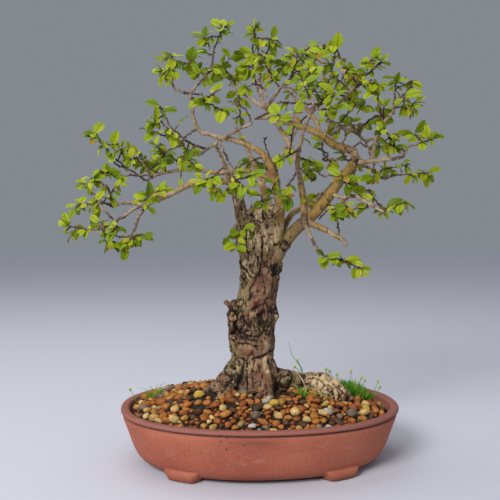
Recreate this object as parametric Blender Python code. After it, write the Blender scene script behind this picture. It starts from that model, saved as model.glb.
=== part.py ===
"""A Chinese elm bonsai standing in a shallow, unglazed oval pot, modelled piece by piece.

Lengths are millimetres in this file and become metres in the meshes. +Z is up and the pot's long
axis lies along X. Limbs and sprays are given by where they show in the photograph and a depth in
millimetres; seen() places such a point on the viewer's sight line at that depth.
"""
import itertools
import math
import random

import bmesh
import bpy
from mathutils import Matrix, Vector
from mathutils.geometry import delaunay_2d_cdt

MM = 0.001

# Pot
POT_LENGTH = 250.0
POT_WIDTH = 200.0
POT_HEIGHT = 50.0
OVAL_POWER = 2.15
OVAL_SIDES = 28
FOOT_HEIGHT = 7.0
FLOOR_THICKNESS = 6.0
RIM_WIDTH = 7.5
RIM_BAND = 5.5
# Outer wall from under the rim band to the turn of the floor: (inset from the rim, height)
WALL_OUTSIDE = (
    (2.2, 44.0), (2.2, 42.6), (1.6, 41.5), (4.0, 35.0), (9.5, 22.0), (15.5, 12.5), (24.0, 7.0),
)
WALL_INSIDE = ((30.0, 13.0), (20.5, 18.0), (15.0, 27.0), (9.5, 41.0))
FOOT_ANGLES = (51.0, 129.0, 231.0, 309.0)
FOOT_HALF_ANGLE = 8.5
FOOT_INSET = (22.5, 37.0)
DRAIN_PLACES = (-42.0, 42.0)
DRAIN_RADIUS = 8.0

# Planting
GAP = 0.3
SOIL_EDGE = 41.0
SOIL_RISE = 21.0
SOIL_CENTRE = (-8.0, 6.0)
MOUND_SHARES = (1.0, 0.88, 0.72, 0.52, 0.28)
PEBBLE_SEED = 11
PEBBLE_COUNT = 68
PEBBLE_SPACING = 17.6
PEBBLE_RISE = 6.0

# Viewer that the tree's front faces, and the photograph's middle and focal length in its pixels
VIEW_TURN = math.radians(-5.0)
VIEW_PITCH = math.radians(1.7)
EYE = Vector((-9.0, -665.0, 207.0))
PHOTO_MIDDLE = 250.0
PHOTO_FOCAL = 734.0

# Trunk rings from the buried plug to the broken top: (height, centre x, centre y, half width, half depth)
TRUNK = (
    (42, -9, 4, 24, 22),
    (60, -9, 4, 31, 27),
    (66, -9, 4, 31, 27),
    (73, -9, 4, 28, 25),
    (80, -7, 4, 23, 22),
    (90, -6, 4, 19.5, 19.5),
    (97, -7, 4, 20.5, 20),
    (105, -7, 4, 21.5, 20.5),
    (112, -7, 4, 20, 19.5),
    (122, -6, 4, 20.5, 19.5),
    (132, -5, 4, 19.5, 19),
    (142, -4, 4, 18.5, 18),
    (152, -2, 4, 18, 17.5),
    (166, -1, 4, 18, 17),
    (180, 0, 4, 19, 17),
    (194, 2, 3, 20.5, 17),
    (207, 3, 3, 20.5, 16.5),
    (219, 3, 3, 17, 14),
    (228, 5, 3, 12.5, 10.5),
)
TRUNK_SIDES = 16
STUMP_TEETH = 5.0
STUMP_HOLLOW = 12.0

# Lumps on the trunk and the surface root: (centre, half sizes)
BURLS = (
    ((6, -14, 130), (9, 8, 14)),
    ((-23, -4, 126), (7, 9, 17)),
    ((-9, -16, 112), (9, 5, 5)),
    ((14, 2, 172), (7, 9, 8)),
    ((-11, -12, 178), (8, 4, 12)),
    ((-19, 2, 204), (6, 8, 9)),
    ((-4, 22, 140), (12, 6, 18)),
    ((4, 20, 186), (11, 6, 10)),
)

# Surface roots, each (x, y, z, radius) from the trunk outward
ROOTS = (
    (
        (8, 0, 70, 12), (24, 0, 68, 10.5), (38, -1, 65.5, 9.5), (50, -3, 66, 10.5), (62, -8, 64, 9),
        (72, -14, 60, 6.5), (80, -22, 54, 3.5),
    ),
    ((50, -5, 64, 6), (58, -14, 61, 4.5), (64, -22, 56, 3)),
    ((-24, 0, 68, 9), (-38, -4, 64.5, 6.5), (-50, -8, 59, 3.5)),
    ((-20, -12, 68, 8), (-30, -24, 63, 5.5), (-38, -34, 57, 3)),
    ((2, -16, 68, 8), (6, -28, 63, 5.5), (10, -38, 58, 3)),
)
ROOT_SIDES = 6

# Limbs as (across, down, depth, radius): across and down are read off the photograph, in its pixels,
# depth and radius are millimetres; each limb starts inside the wood that bears it
LIMBS = {
    "left_fork": (
        (247, 240, -6, 7), (243, 222, -9, 6), (240, 206, -10, 5.6), (237, 192, -10, 5.2),
        (236, 181, -9, 4.2),
    ),
    "low_left": (
        (236, 185, -10, 3.8), (225, 181, -14, 3.3), (209, 183.5, -19, 3.1), (192, 185, -24, 3),
        (181, 189, -27, 2.9), (170, 194, -30, 2.9), (160, 198.5, -33, 2.9), (153, 202, -35, 2.4),
    ),
    "low_left_high": (
        (153, 202, -35, 1.9), (142, 205, -36, 1.7), (133, 203, -35, 1.6), (124, 203, -33, 1.4),
        (113, 207, -30, 1.1),
    ),
    "low_left_long": (
        (144, 205, -36, 1.7), (134, 209, -42, 1.6), (126, 215, -46, 1.5), (117, 220, -50, 1.4),
        (108, 226, -52, 1.2), (95, 230, -54, 1),
    ),
    "low_left_down": (
        (151, 203, -35, 1.6), (143, 211, -44, 1.4), (138, 217, -48, 1.3), (136, 227, -50, 1.2),
    ),
    "high_left": (
        (273, 178, 4, 3.2), (258, 173.5, 8, 3), (246, 171, 12, 2.9), (230, 172, 16, 2.8),
        (217, 173, 20, 2.6), (205, 171, 22, 2.4), (193, 170, 24, 2.2), (181, 170, 26, 2),
        (170, 172, 28, 1.8), (156, 175, 30, 1.6), (147, 181, 30, 1.2),
    ),
    "arch": (
        (278, 240, 2, 5), (280, 222, 4, 4.4), (280, 206, 5, 4.1), (277, 195, 5, 4), (274, 178, 4, 3.8),
        (271, 168, 5, 3.6), (265, 157, 6, 3.5), (256, 149, 8, 3.3), (243, 143, 10, 3.1),
        (232, 140, 12, 2.9), (222, 138.5, 13, 2.6), (208, 134.5, 14, 2.4), (198, 129, 14, 2.1),
        (193.5, 118, 12, 1.9), (191.5, 105, 10, 1.8), (190.5, 94, 8, 1.6),
    ),
    "arch_left": (
        (190.5, 94, 8, 1.4), (179, 91, 4, 1.3), (173, 86, 2, 1.2),
    ),
    "arch_top": (
        (190.5, 94, 8, 1.4), (196, 86, 12, 1.3), (204, 78, 16, 1.2), (211, 68, 20, 1.1),
        (214, 51, 22, 0.9),
    ),
    "arch_cross": (
        (222, 139, 13, 1.7), (232, 133, 4, 1.5), (241, 128, -6, 1.4), (252, 124, -14, 1.2),
    ),
    "arch_under": (
        (220, 140, 13, 1.6), (208, 149, 8, 1.4), (199, 155, 4, 1.2),
    ),
    "arch_under_left": (
        (207, 149, 8, 1.2), (192, 144, 0, 1.1), (181, 136, -8, 1), (170, 127, -14, 0.9),
    ),
    "rising": (
        (305, 219, -10, 3.6), (303, 197, 0, 3.2), (300, 180, 4, 3.1), (296, 159, 10, 2.9),
        (290, 146, 18, 2.7), (285, 136, 22, 2.6), (279, 127, 25, 2.5), (273, 119, 27, 2.4),
        (267, 109, 28, 2.2), (262, 98, 28, 1.9), (260, 82, 26, 1.6), (260, 66, 24, 1.4),
    ),
    "right": (
        (270, 265, -1, 8), (284, 243, -6, 6.4), (294, 231, -8, 5.8), (304, 222, -10, 5.4),
        (315, 213, -13, 4.9), (327, 199, -16, 4.6), (340, 181, -18, 4.3), (348, 171, -16, 4.3),
        (355, 162, -10, 4.4),
    ),
    "return": (
        (355, 163, -10, 3.9), (354, 153, -2, 3.9), (345, 148, 4, 3.9), (334, 145, 8, 3.8),
        (322, 136, 10, 3.6), (311, 130, 12, 3.4), (300, 126.5, 13, 3.2), (290, 123, 13, 3),
        (280, 120.5, 12, 2.8), (266, 117, 9, 2.2), (255, 119, 5, 1.6),
    ),
    "upper_left": (
        (267, 109, 28, 2), (255, 102, 34, 1.9), (242, 92, 40, 1.7), (230, 84, 44, 1.4),
    ),
    "upper_mid": (
        (322, 136, 10, 2.4), (317, 124, 18, 2.3), (309, 111, 26, 2.2), (299, 104, 32, 2),
        (292, 94, 38, 1.7), (285, 86, 44, 1.4),
    ),
    "upper_front": (
        (267, 108, 28, 2), (274, 97, 14, 1.8), (281, 88, 2, 1.6), (290, 80, -10, 1.3),
    ),
    "upper_right": (
        (324, 137, 9, 1.9), (330, 122, 2, 1.7), (338, 106, -10, 1.6), (346, 96, -18, 1.4),
        (354, 88, -24, 1.3), (363, 78, -30, 1.1),
    ),
    "far_right": (
        (332, 144, 8, 2), (338, 128, 18, 1.8), (356, 133, 28, 1.7), (365, 140, 34, 1.6),
        (379, 137, 40, 1.3),
    ),
    "right_high": (
        (372, 161, -14, 1.9), (375, 141, -20, 1.6), (382, 124, -26, 1.5), (393, 113, -30, 1.4),
        (394, 104, -30, 1.2),
    ),
    "right_level": (
        (353, 163, -10, 2.9), (370, 161, -14, 2.3), (387, 159, -20, 2), (402, 157, -26, 1.6),
        (408, 147, -30, 1.3),
    ),
    "right_low": (
        (354, 163, -10, 2), (369, 168, 2, 1.7), (382, 178, 12, 1.5), (394, 175, 20, 1.2),
    ),
    "under_right": (
        (331, 194, -16, 2.2), (343, 197, -26, 1.9), (358, 197, -36, 1.8), (372, 206, -46, 1.5),
        (384, 212, -52, 1.2),
    ),
    "droop": (
        (304, 222, -10, 3.4), (314, 225, -14, 3), (328, 231, -20, 2.7), (341, 239, -26, 2.3),
        (347, 246, -30, 1.7),
    ),
    "droop_front": (
        (304, 223, -11, 2.3), (312, 240, -26, 1.7), (319, 254, -38, 1.3),
    ),
    "back_right": (
        (279, 236, 4, 3.6), (292, 214, 16, 2.8), (303, 208, 30, 2.5), (316, 200, 46, 2.2),
        (330, 186, 60, 1.8), (344, 170, 72, 1.3),
    ),
    "back": (
        (262, 233, 6, 5), (268, 208, 28, 4.1), (263, 187, 48, 3.5), (254, 165, 66, 3),
        (246, 146, 78, 2.4), (236, 128, 88, 1.7),
    ),
    "back_up": (
        (262, 184, 51, 2.6), (276, 165, 66, 2.1), (290, 142, 80, 1.8), (302, 120, 90, 1.3),
    ),
    "front_up": (
        (301, 184, 3, 2.6), (297, 165, -20, 2.2), (300, 145, -44, 2), (306, 124, -62, 1.7),
        (314, 106, -74, 1.2),
    ),
    "front_left": (
        (238, 196, -10, 2.8), (230, 180, -36, 2.2), (223, 162, -54, 1.9), (215, 144, -68, 1.4),
    ),
    "crossing": (
        (241, 210, -9, 1.9), (252, 219, -27, 1.3), (262, 222, -31, 1.2), (272, 217, -29, 1.1),
        (281, 208, -26, 1),
    ),
}

# Leafy sprays: the places their twigs reach, as (across, down, depth), read off in the same way
SPRAYS = (
    ((222, 26, 24), (205, 38, 14)),
    ((172, 56, -6), (189, 62, 4), (165, 71, 8)),
    ((198, 72, 34), (216, 72, 40)),
    ((237, 77, 46), (222, 66, 56), (240, 100, 62)),
    ((205, 100, -8), (222, 110, -4)),
    ((254, 30, 18), (271, 39, 28), (252, 56, 34)),
    ((264, 55, 6), (272, 74, 0)),
    ((298, 55, -22), (308, 48, -6)),
    ((302, 79, -56), (316, 58, -40)),
    ((306, 70, 60), (284, 66, 60)),
    ((335, 45, 14), (322, 47, 30)),
    ((334, 76, -24), (348, 69, -34)),
    ((382, 62, -34), (371, 60, -40)),
    ((374, 83, -48), (356, 80, -8)),
    ((396, 79, -14), (412, 81, -30)),
    ((411, 106, -44), (404, 97, -50)),
    ((384, 107, 20), (381, 115, 40)),
    ((332, 107, -80), (334, 95, -88)),
    ((353, 98, 4), (364, 108, 14)),
    ((326, 96, 96), (312, 86, 100)),
    ((350, 121, 50), (366, 124, 60), (328, 118, 70)),
    ((387, 143, 48), (398, 134, 52)),
    ((432, 139, -38), (415, 134, -26)),
    ((389, 144, -46), (384, 128, -58)),
    ((160, 106, -18), (154, 122, -24), (172, 133, -22)),
    ((94, 134, 14), (112, 145, 22), (122, 149, 30)),
    ((138, 152, 38), (131, 160, 28)),
    ((101, 172, 8), (112, 171, 20)),
    ((146, 165, 46), (160, 163, 52)),
    ((158, 146, 12), (166, 152, 6)),
    ((182, 161, -8), (193, 165, -14)),
    ((190, 150, 50), (180, 140, 60)),
    ((85, 184, -12), (92, 179, -22), (115, 187, -20)),
    ((148, 197, -58), (160, 190, -50), (164, 186, -6)),
    ((205, 180, -44), (215, 190, -48)),
    ((93, 207, -34), (78, 205, -26)),
    ((68, 226, -50), (74, 233, -56)),
    ((108, 242, -46), (118, 226, -66), (100, 223, -34)),
    ((125, 247, -52), (144, 234, -58), (131, 240, -62)),
    ((244, 188, -60), (252, 175, -58), (223, 194, -44)),
    ((228, 238, -34), (236, 246, -40)),
    ((261, 196, -50), (275, 184, -46), (287, 197, -52)),
    ((252, 164, 92), (268, 166, 90)),
    ((281, 159, -44), (294, 113, -54), (279, 115, -48)),
    ((312, 162, 30), (311, 171, 44)),
    ((342, 176, -44), (349, 183, -40)),
    ((356, 164, 76), (340, 150, 84), (330, 162, 90)),
    ((374, 176, -16), (391, 168, 34), (407, 165, 30)),
    ((418, 174, 30), (428, 173, 26)),
    ((318, 196, 60), (310, 203, 66)),
    ((333, 211, -50), (346, 206, -56)),
    ((386, 209, -46), (402, 203, -60), (368, 190, -26)),
    ((326, 257, -46), (345, 260, -34), (360, 268, -40)),
)
# Small plants in the gravel: (centre in the viewer's frame, reach, height, blades, capsules)
PLANTS = {
    "pearlwort_tuft": ((80, 24), 21, 8, 13, 4),
    "grass_tuft": ((36, -26), 11, 11, 8, 0),
    "weed_sprigs": ((-96, 2), 10, 8, 6, 1),
}
SPRAY_SEED = 600
LEAVES_AT_TIP = (2, 1, 1)
LEAF_LENGTH = (13.0, 16.5)
LEAF_WIDTH = 0.72
LEAF_THICKNESS = 1.0
LEAF_BALLS = ((0.2, 0.16), (0.52, 0.33), (0.84, 0.24))
TWIG_BASE_RADIUS = 1.15
TWIG_TIP_RADIUS = 0.8
TWIG_SIDES = 3

COLOURS = {
    "terracotta": ((0.39, 0.15, 0.10), 0.75),
    "damp_soil": ((0.035, 0.025, 0.018), 0.95),
    "pea_gravel": ((0.45, 0.22, 0.09), 0.55),
    "elm_bark": ((0.20, 0.135, 0.075), 0.85),
    "elm_leaf": ((0.26, 0.42, 0.035), 0.5),
    "pearlwort": ((0.05, 0.17, 0.02), 0.6),
}


def clear_scene():
    """Remove every object that the scene starts with."""
    for obj in list(bpy.data.objects):
        bpy.data.objects.remove(obj, do_unlink=True)


def material(name):
    """Return the named Principled material, made on first use."""
    if name in bpy.data.materials:
        return bpy.data.materials[name]
    colour, roughness = COLOURS[name]
    made = bpy.data.materials.new(name)
    made.use_nodes = True
    shader = made.node_tree.nodes["Principled BSDF"]
    shader.inputs["Base Color"].default_value = (*colour, 1.0)
    shader.inputs["Roughness"].default_value = roughness
    shader.inputs["Metallic"].default_value = 0.0
    made.diffuse_color = (*colour, 1.0)
    return made


def mesh_object(name, points, faces):
    """Make an object in metres from points in millimetres, with its faces turned outward."""
    mesh = bpy.data.meshes.new(name)
    mesh.from_pydata([Vector(p) * MM for p in points], [], faces)
    build = bmesh.new()
    build.from_mesh(mesh)
    bmesh.ops.recalc_face_normals(build, faces=build.faces)
    build.to_mesh(mesh)
    build.free()
    obj = bpy.data.objects.new(name, mesh)
    bpy.context.scene.collection.objects.link(obj)
    return obj


def apply_boolean(target, tools, operation):
    """Fuse the tools with the target, or cut them from it, and remove them."""
    group = bpy.data.collections.new("tools")
    bpy.context.scene.collection.children.link(group)
    for tool in tools:
        group.objects.link(tool)
    step = target.modifiers.new("fuse", "BOOLEAN")
    step.operand_type = "COLLECTION"
    step.collection = group
    step.operation = operation
    step.solver = "MANIFOLD"
    seen_scene = bpy.context.evaluated_depsgraph_get()
    result = bpy.data.meshes.new_from_object(target.evaluated_get(seen_scene))
    target.modifiers.remove(step)
    target.data = result
    for tool in tools:
        bpy.data.objects.remove(tool, do_unlink=True)
    bpy.data.collections.remove(group)
    return target


def keep_largest_body(build):
    """Drop the crumbs that a cut leaves, so that one closed body stays."""
    bodies = []
    unseen = set(build.verts)
    while unseen:
        start = unseen.pop()
        body = {start}
        waiting = [start]
        while waiting:
            for edge in waiting.pop().link_edges:
                for vert in edge.verts:
                    if vert not in body:
                        body.add(vert)
                        waiting.append(vert)
        unseen -= body
        bodies.append(body)
    bodies.sort(key=len)
    for body in bodies[:-1]:
        bmesh.ops.delete(build, geom=list(body), context="VERTS")


def finish(obj, name, material_name, smooth=True):
    """Name the finished node, give it its material, and triangulate and shade it."""
    build = bmesh.new()
    build.from_mesh(obj.data)
    keep_largest_body(build)
    bmesh.ops.triangulate(build, faces=build.faces)
    build.to_mesh(obj.data)
    build.free()
    obj.name = name
    obj.data.name = name
    obj.data.materials.clear()
    obj.data.materials.append(material(material_name))
    for face in obj.data.polygons:
        face.use_smooth = smooth
    return obj


def bridge_rings(count, sides, closed_ends=True):
    """Return the faces between consecutive rings of points, with a flat face at each end."""
    faces = []
    for ring in range(count - 1):
        for side in range(sides):
            a = ring * sides + side
            b = ring * sides + (side + 1) % sides
            faces.append((a, b, b + sides, a + sides))
    if closed_ends:
        faces.append(tuple(reversed(range(sides))))
        faces.append(tuple(range((count - 1) * sides, count * sides)))
    return faces


def turned(point):
    """Turn a point of the viewer's frame about the upright axis into the pot's frame."""
    return Matrix.Rotation(VIEW_TURN, 3, "Z") @ Vector(point)


def seen(across, down, depth):
    """Place a pixel of the photograph at a depth behind the trunk's middle, on its sight line."""
    reach = depth - EYE.y
    z = EYE.z - reach * math.tan(math.atan((down - PHOTO_MIDDLE) / PHOTO_FOCAL) + VIEW_PITCH)
    away = reach * math.cos(VIEW_PITCH) + (EYE.z - z) * math.sin(VIEW_PITCH)
    x = EYE.x + (across - PHOTO_MIDDLE) / PHOTO_FOCAL * away
    return turned((x, depth, z))


# Pot

def oval(inset, height):
    """Return the oval at an inset from the rim, as a ring of points."""
    ring = []
    for side in range(OVAL_SIDES):
        ring.append(oval_point(inset, 360.0 * side / OVAL_SIDES, height))
    return ring


def oval_point(inset, degrees, height):
    """Return one point of the oval at an inset from the rim."""
    angle = math.radians(degrees)
    across = math.cos(angle)
    along = math.sin(angle)
    x = (POT_LENGTH / 2 - inset) * math.copysign(abs(across) ** (2 / OVAL_POWER), across)
    y = (POT_WIDTH / 2 - inset) * math.copysign(abs(along) ** (2 / OVAL_POWER), along)
    return Vector((x, y, height))


def oval_share(x, y, inset):
    """Return 0 at the oval's centre and 1 on the outline at this inset."""
    across = abs(x) / (POT_LENGTH / 2 - inset)
    along = abs(y) / (POT_WIDTH / 2 - inset)
    return (across ** OVAL_POWER + along ** OVAL_POWER) ** (1 / OVAL_POWER)


def make_pot():
    """Model the bowed wall, rolled rim band, four curved feet and two drain holes."""
    rim_inner = ((RIM_WIDTH, POT_HEIGHT - 0.8), (RIM_WIDTH - 0.8, POT_HEIGHT))
    rim_outer = ((0.8, POT_HEIGHT), (0.0, POT_HEIGHT - 0.8))
    rim_foot = ((0.0, POT_HEIGHT - RIM_BAND + 0.4), (0.4, POT_HEIGHT - RIM_BAND))
    profile = WALL_INSIDE + rim_inner + rim_outer + rim_foot + WALL_OUTSIDE
    points = [p for inset, height in profile for p in oval(inset, height)]
    pot = mesh_object("pot", points, bridge_rings(len(profile), OVAL_SIDES))
    feet = [make_foot(angle) for angle in FOOT_ANGLES]
    apply_boolean(pot, feet, "UNION")
    drains = [make_drain(x) for x in DRAIN_PLACES]
    apply_boolean(pot, drains, "DIFFERENCE")
    return finish(pot, "pot", "terracotta")


def make_foot(middle):
    """Model one foot that follows the oval under the wall."""
    points = []
    steps = 5
    for step in range(steps):
        share = 2.0 * step / (steps - 1) - 1.0
        angle = middle + FOOT_HALF_ANGLE * share
        draw_in = 1.5 if abs(share) == 1.0 else 0.0
        outer, inner = FOOT_INSET[0] + draw_in, FOOT_INSET[1] - draw_in
        points.append(oval_point(outer, angle, 0.0))
        points.append(oval_point(inner, angle, 0.0))
        points.append(oval_point(inner - 0.5, angle, FOOT_HEIGHT + 2.0))
        points.append(oval_point(outer - 1.0, angle, FOOT_HEIGHT + 2.0))
    return mesh_object("foot", points, bridge_rings(steps, 4))


def make_drain(x):
    """Model the cutter of one drain hole."""
    rings = []
    for height in (FOOT_HEIGHT - 3.0, FOOT_HEIGHT + FLOOR_THICKNESS + 3.0):
        for side in range(16):
            angle = math.tau * side / 16
            across = DRAIN_RADIUS * math.cos(angle)
            rings.append((x + across, DRAIN_RADIUS * math.sin(angle), height))
    cutter = mesh_object("drain_cutter", rings, bridge_rings(2, 16))
    cutter.hide_render = True
    cutter.display_type = "WIRE"
    return cutter


# Soil and gravel

def soil_height(x, y):
    """Return the height of the mounded soil."""
    spread = oval_share(x - SOIL_CENTRE[0] * 0.5, y - SOIL_CENTRE[1] * 0.5, RIM_WIDTH)
    return SOIL_EDGE + SOIL_RISE * max(0.0, 1.0 - spread ** 2.6)


def mound_rings(shares, inset, lift):
    """Return rings of points on the soil's mound, from the outline inward."""
    rings = []
    for share in shares:
        for side in range(OVAL_SIDES):
            edge = oval_point(inset, 360.0 * side / OVAL_SIDES, 0.0)
            x, y = edge.x * share, edge.y * share
            rings.append((x, y, soil_height(x, y) + lift))
    return rings


def make_soil(cutters):
    """Model the soil that fills the pot, with plain holes for what grows in it."""
    sides = ((30.0 + GAP, 13.0 + GAP), (20.5 + GAP * 1.6, 18.0 + GAP), (15.0 + GAP * 1.6, 27.0))
    points = [p for inset, height in sides for p in oval(inset, height)]
    points += mound_rings(MOUND_SHARES, RIM_WIDTH + 2.6, 0.0)
    soil = mesh_object("soil", points, bridge_rings(len(sides) + len(MOUND_SHARES), OVAL_SIDES))
    apply_boolean(soil, cutters, "DIFFERENCE")
    return finish(soil, "soil", "damp_soil")


def pebble_places():
    """Scatter pebble centres over the mound with even spacing."""
    rng = random.Random(PEBBLE_SEED)
    places = []
    tries = 0
    while len(places) < PEBBLE_COUNT and tries < 30000:
        tries += 1
        x = rng.uniform(-POT_LENGTH / 2, POT_LENGTH / 2)
        y = rng.uniform(-POT_WIDTH / 2, POT_WIDTH / 2)
        room = PEBBLE_SPACING * rng.uniform(0.82, 1.15)
        if oval_share(x, y, RIM_WIDTH + 8.5) > 1.0:
            continue
        if all(math.hypot(x - a, y - b) > room for a, b in places):
            places.append((x, y))
    return places


def pebble_relief(places):
    """Return the relief's points: a flat-topped stone at each place, and low joints between."""
    rng = random.Random(PEBBLE_SEED + 1)
    points = []
    for x, y in places:
        rise = PEBBLE_RISE * rng.uniform(0.75, 1.15)
        points.append((x, y, rise))
        corners = 4
        start = rng.uniform(0.0, math.tau)
        for corner in range(corners):
            angle = start + math.tau * corner / corners
            reach = PEBBLE_SPACING * rng.uniform(0.29, 0.35)
            points.append((x + reach * math.cos(angle), y + reach * math.sin(angle), rise * 0.72))
    joints = delaunay_2d_cdt([Vector(p) for p in places], [], [], 0, 0.001)[2]
    for a, b, c in joints:
        x = (places[a][0] + places[b][0] + places[c][0]) / 3
        y = (places[a][1] + places[b][1] + places[c][1]) / 3
        points.append((x, y, 1.1))
    return points


def make_gravel(cutters):
    """Model the pebble cover as one layer with a relief of stones."""
    inset = RIM_WIDTH + 2.6
    low = mound_rings((1.0,), inset, GAP)
    under = mound_rings(MOUND_SHARES[1:], inset, GAP)
    relief = pebble_relief(pebble_places())
    flat = [Vector((x, y)) for x, y, _ in low] + [Vector((x, y)) for x, y, _ in relief]
    outline = [(i, (i + 1) % OVAL_SIDES) for i in range(OVAL_SIDES)]
    placed, _, triangles, origin, _, _ = delaunay_2d_cdt(flat, outline, [], 1, 0.001)
    heights = [1.3] * OVAL_SIDES + [rise for _, _, rise in relief]
    top = []
    for place, source in zip(placed, origin):
        top.append((place.x, place.y, soil_height(place.x, place.y) + GAP + heights[source[0]]))
    start = len(top)
    faces = [tuple(t) for t in triangles]
    rings = len(MOUND_SHARES)
    faces += [tuple(i + start for i in face) for face in bridge_rings(rings, OVAL_SIDES, False)]
    faces.append(tuple(start + (rings - 1) * OVAL_SIDES + i for i in range(OVAL_SIDES)))
    edge = {source[0]: index for index, source in enumerate(origin) if source[0] < OVAL_SIDES}
    for side in range(OVAL_SIDES):
        after = (side + 1) % OVAL_SIDES
        faces.append((edge[side], edge[after], start + after, start + side))
    gravel = mesh_object("gravel", top + low + under, faces)
    apply_boolean(gravel, cutters, "DIFFERENCE")
    return finish(gravel, "gravel", "pea_gravel", smooth=False)


# Tree

def trunk_ring(row, grow):
    """Return one ring of the trunk, with ridges that wander round it as it rises."""
    height, x, y, wide, deep = row
    ring = []
    for side in range(TRUNK_SIDES):
        angle = math.tau * side / TRUNK_SIDES
        ridge = 1.0
        if height > 62:
            ridge += 0.045 * math.sin(3 * angle + height * 0.05)
            ridge += 0.03 * math.sin(7 * angle - height * 0.11)
        px = x + (wide * ridge + grow) * math.cos(angle)
        py = y + (deep * ridge + grow) * math.sin(angle)
        ring.append(turned((px, py, height)))
    return ring


def make_trunk(grow=0.0, rows=TRUNK, broken=True):
    """Model the trunk as rings, ending in a broken, hollowed top."""
    points = [p for row in rows for p in trunk_ring(row, grow)]
    for point in points[:TRUNK_SIDES]:
        point.z -= grow
    if broken:
        rng = random.Random(5)
        for point in points[-TRUNK_SIDES:]:
            point.z += rng.uniform(-STUMP_TEETH, STUMP_TEETH)
        height, x, y, wide, deep = rows[-1]
        points += trunk_ring((height - STUMP_HOLLOW, x, y, wide * 0.62, deep * 0.62), 0.0)
    count = len(points) // TRUNK_SIDES
    return mesh_object("trunk", points, bridge_rings(count, TRUNK_SIDES))


def tube(path, radii, sides, name="tube"):
    """Model a tapering tube along a path."""
    points = []
    up = Vector((0.31, 0.22, 0.92))
    for index, place in enumerate(path):
        before = path[max(index - 1, 0)]
        after = path[min(index + 1, len(path) - 1)]
        direction = (after - before).normalized()
        across = direction.cross(up)
        if across.length < 0.2:
            across = direction.cross(Vector((1.0, 0.0, 0.0)))
        across.normalize()
        other = direction.cross(across)
        up = across.cross(direction)
        for side in range(sides):
            angle = math.tau * side / sides
            points.append(place + (across * math.cos(angle) + other * math.sin(angle)) * radii[index])
    return mesh_object(name, points, bridge_rings(len(path), sides))


def make_root(route, grow=0.0):
    """Model one surface root."""
    path = [turned(point[:3]) for point in route]
    radii = [point[3] + grow for point in route]
    path[-1] = path[-1] + (path[-1] - path[-2]).normalized() * grow
    return tube(path, radii, ROOT_SIDES, "root")


def make_burl(centre, half_sizes):
    """Model one lump of the trunk."""
    build = bmesh.new()
    bmesh.ops.create_icosphere(build, subdivisions=2, radius=1.0)
    points = []
    for vert in build.verts:
        offset = Vector([c * h for c, h in zip(vert.co, half_sizes)])
        points.append(turned(Vector(centre) + offset))
    faces = [tuple(v.index for v in face.verts) for face in build.faces]
    build.free()
    return mesh_object("burl", points, faces)


def limb_path(name):
    """Return a limb's points and radii."""
    route = LIMBS[name]
    return [seen(*point[:3]) for point in route], [point[3] for point in route]


def make_limb(name, grow=0.0):
    """Model one limb, grown by a margin all round where it serves as a cutter."""
    path, radii = limb_path(name)
    sides = 6 if max(radii) > 4.5 else 5 if max(radii) > 3.5 else 4 if max(radii) > 1.75 else 3
    path[-1] = path[-1] + (path[-1] - path[-2]).normalized() * grow
    return tube(path, [radius + grow for radius in radii], sides, "limb")


def make_tree_wood():
    """Fuse the trunk, its burls and surface roots and all the limbs into one piece of wood."""
    parts = [make_root(route) for route in ROOTS]
    parts += [make_burl(centre, size) for centre, size in BURLS]
    parts += [make_limb(name) for name in LIMBS]
    wood = apply_boolean(make_trunk(), parts, "UNION")
    return finish(wood, "tree_wood", "elm_bark")


def root_cutters(grow):
    """Return slightly grown copies of the trunk's foot and roots, to cut their beds."""
    foot = tuple(row for row in TRUNK if row[0] <= 90)
    cutters = [make_trunk(grow, foot, broken=False)]
    cutters += [make_root(route, grow) for route in ROOTS]
    for cutter in cutters:
        cutter.hide_render = True
        cutter.display_type = "WIRE"
    return cutters


# Leafy sprays

class Clearance:
    """Balls along the wood and leaves that are already placed, kept in cells for quick tests."""

    cell = 8.0
    reach = 6.0

    def __init__(self):
        self.cells = {}

    def add(self, owner, place, radius):
        """Note a ball in each cell from which a tested ball could touch it."""
        span = radius + self.reach
        first = [math.floor((c - span) / self.cell) for c in place]
        last = [math.floor((c + span) / self.cell) for c in place]
        for key in itertools.product(*(range(a, b + 1) for a, b in zip(first, last))):
            self.cells.setdefault(key, []).append((owner, place, radius))

    def is_free(self, owners, place, radius):
        """Tell whether a ball keeps clear of the balls of all but the given owners."""
        key = tuple(math.floor(c / self.cell) for c in place)
        for other, centre, size in self.cells.get(key, ()):
            if other not in owners and (place - centre).length < radius + size:
                return False
        return True


def strung_balls(path, radii, step=2.0):
    """Return balls along a tapering path."""
    balls = []
    for index in range(len(path) - 1):
        count = max(1, int((path[index + 1] - path[index]).length / step))
        for part in range(count + 1):
            share = part / count
            place = path[index].lerp(path[index + 1], share)
            balls.append((place, radii[index] + (radii[index + 1] - radii[index]) * share))
    return balls


def twig_path(start, end, rng):
    """Return a zig-zag path from start to end."""
    length = (end - start).length
    count = max(1, min(3, int(length / 15)))
    swing = min(2.6, length * 0.07)
    path = [start]
    for step in range(1, count):
        place = start.lerp(end, step / count)
        place = place + Vector([rng.uniform(-swing, swing) for _ in range(3)])
        place.z -= math.sin(math.pi * step / count) * length * 0.05
        path.append(place)
    path.append(end)
    return path


def twig_radii(path, base, tip):
    """Return radii that taper along a path."""
    last = len(path) - 1
    return [base + (tip - base) * index / last for index in range(last + 1)]


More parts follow.
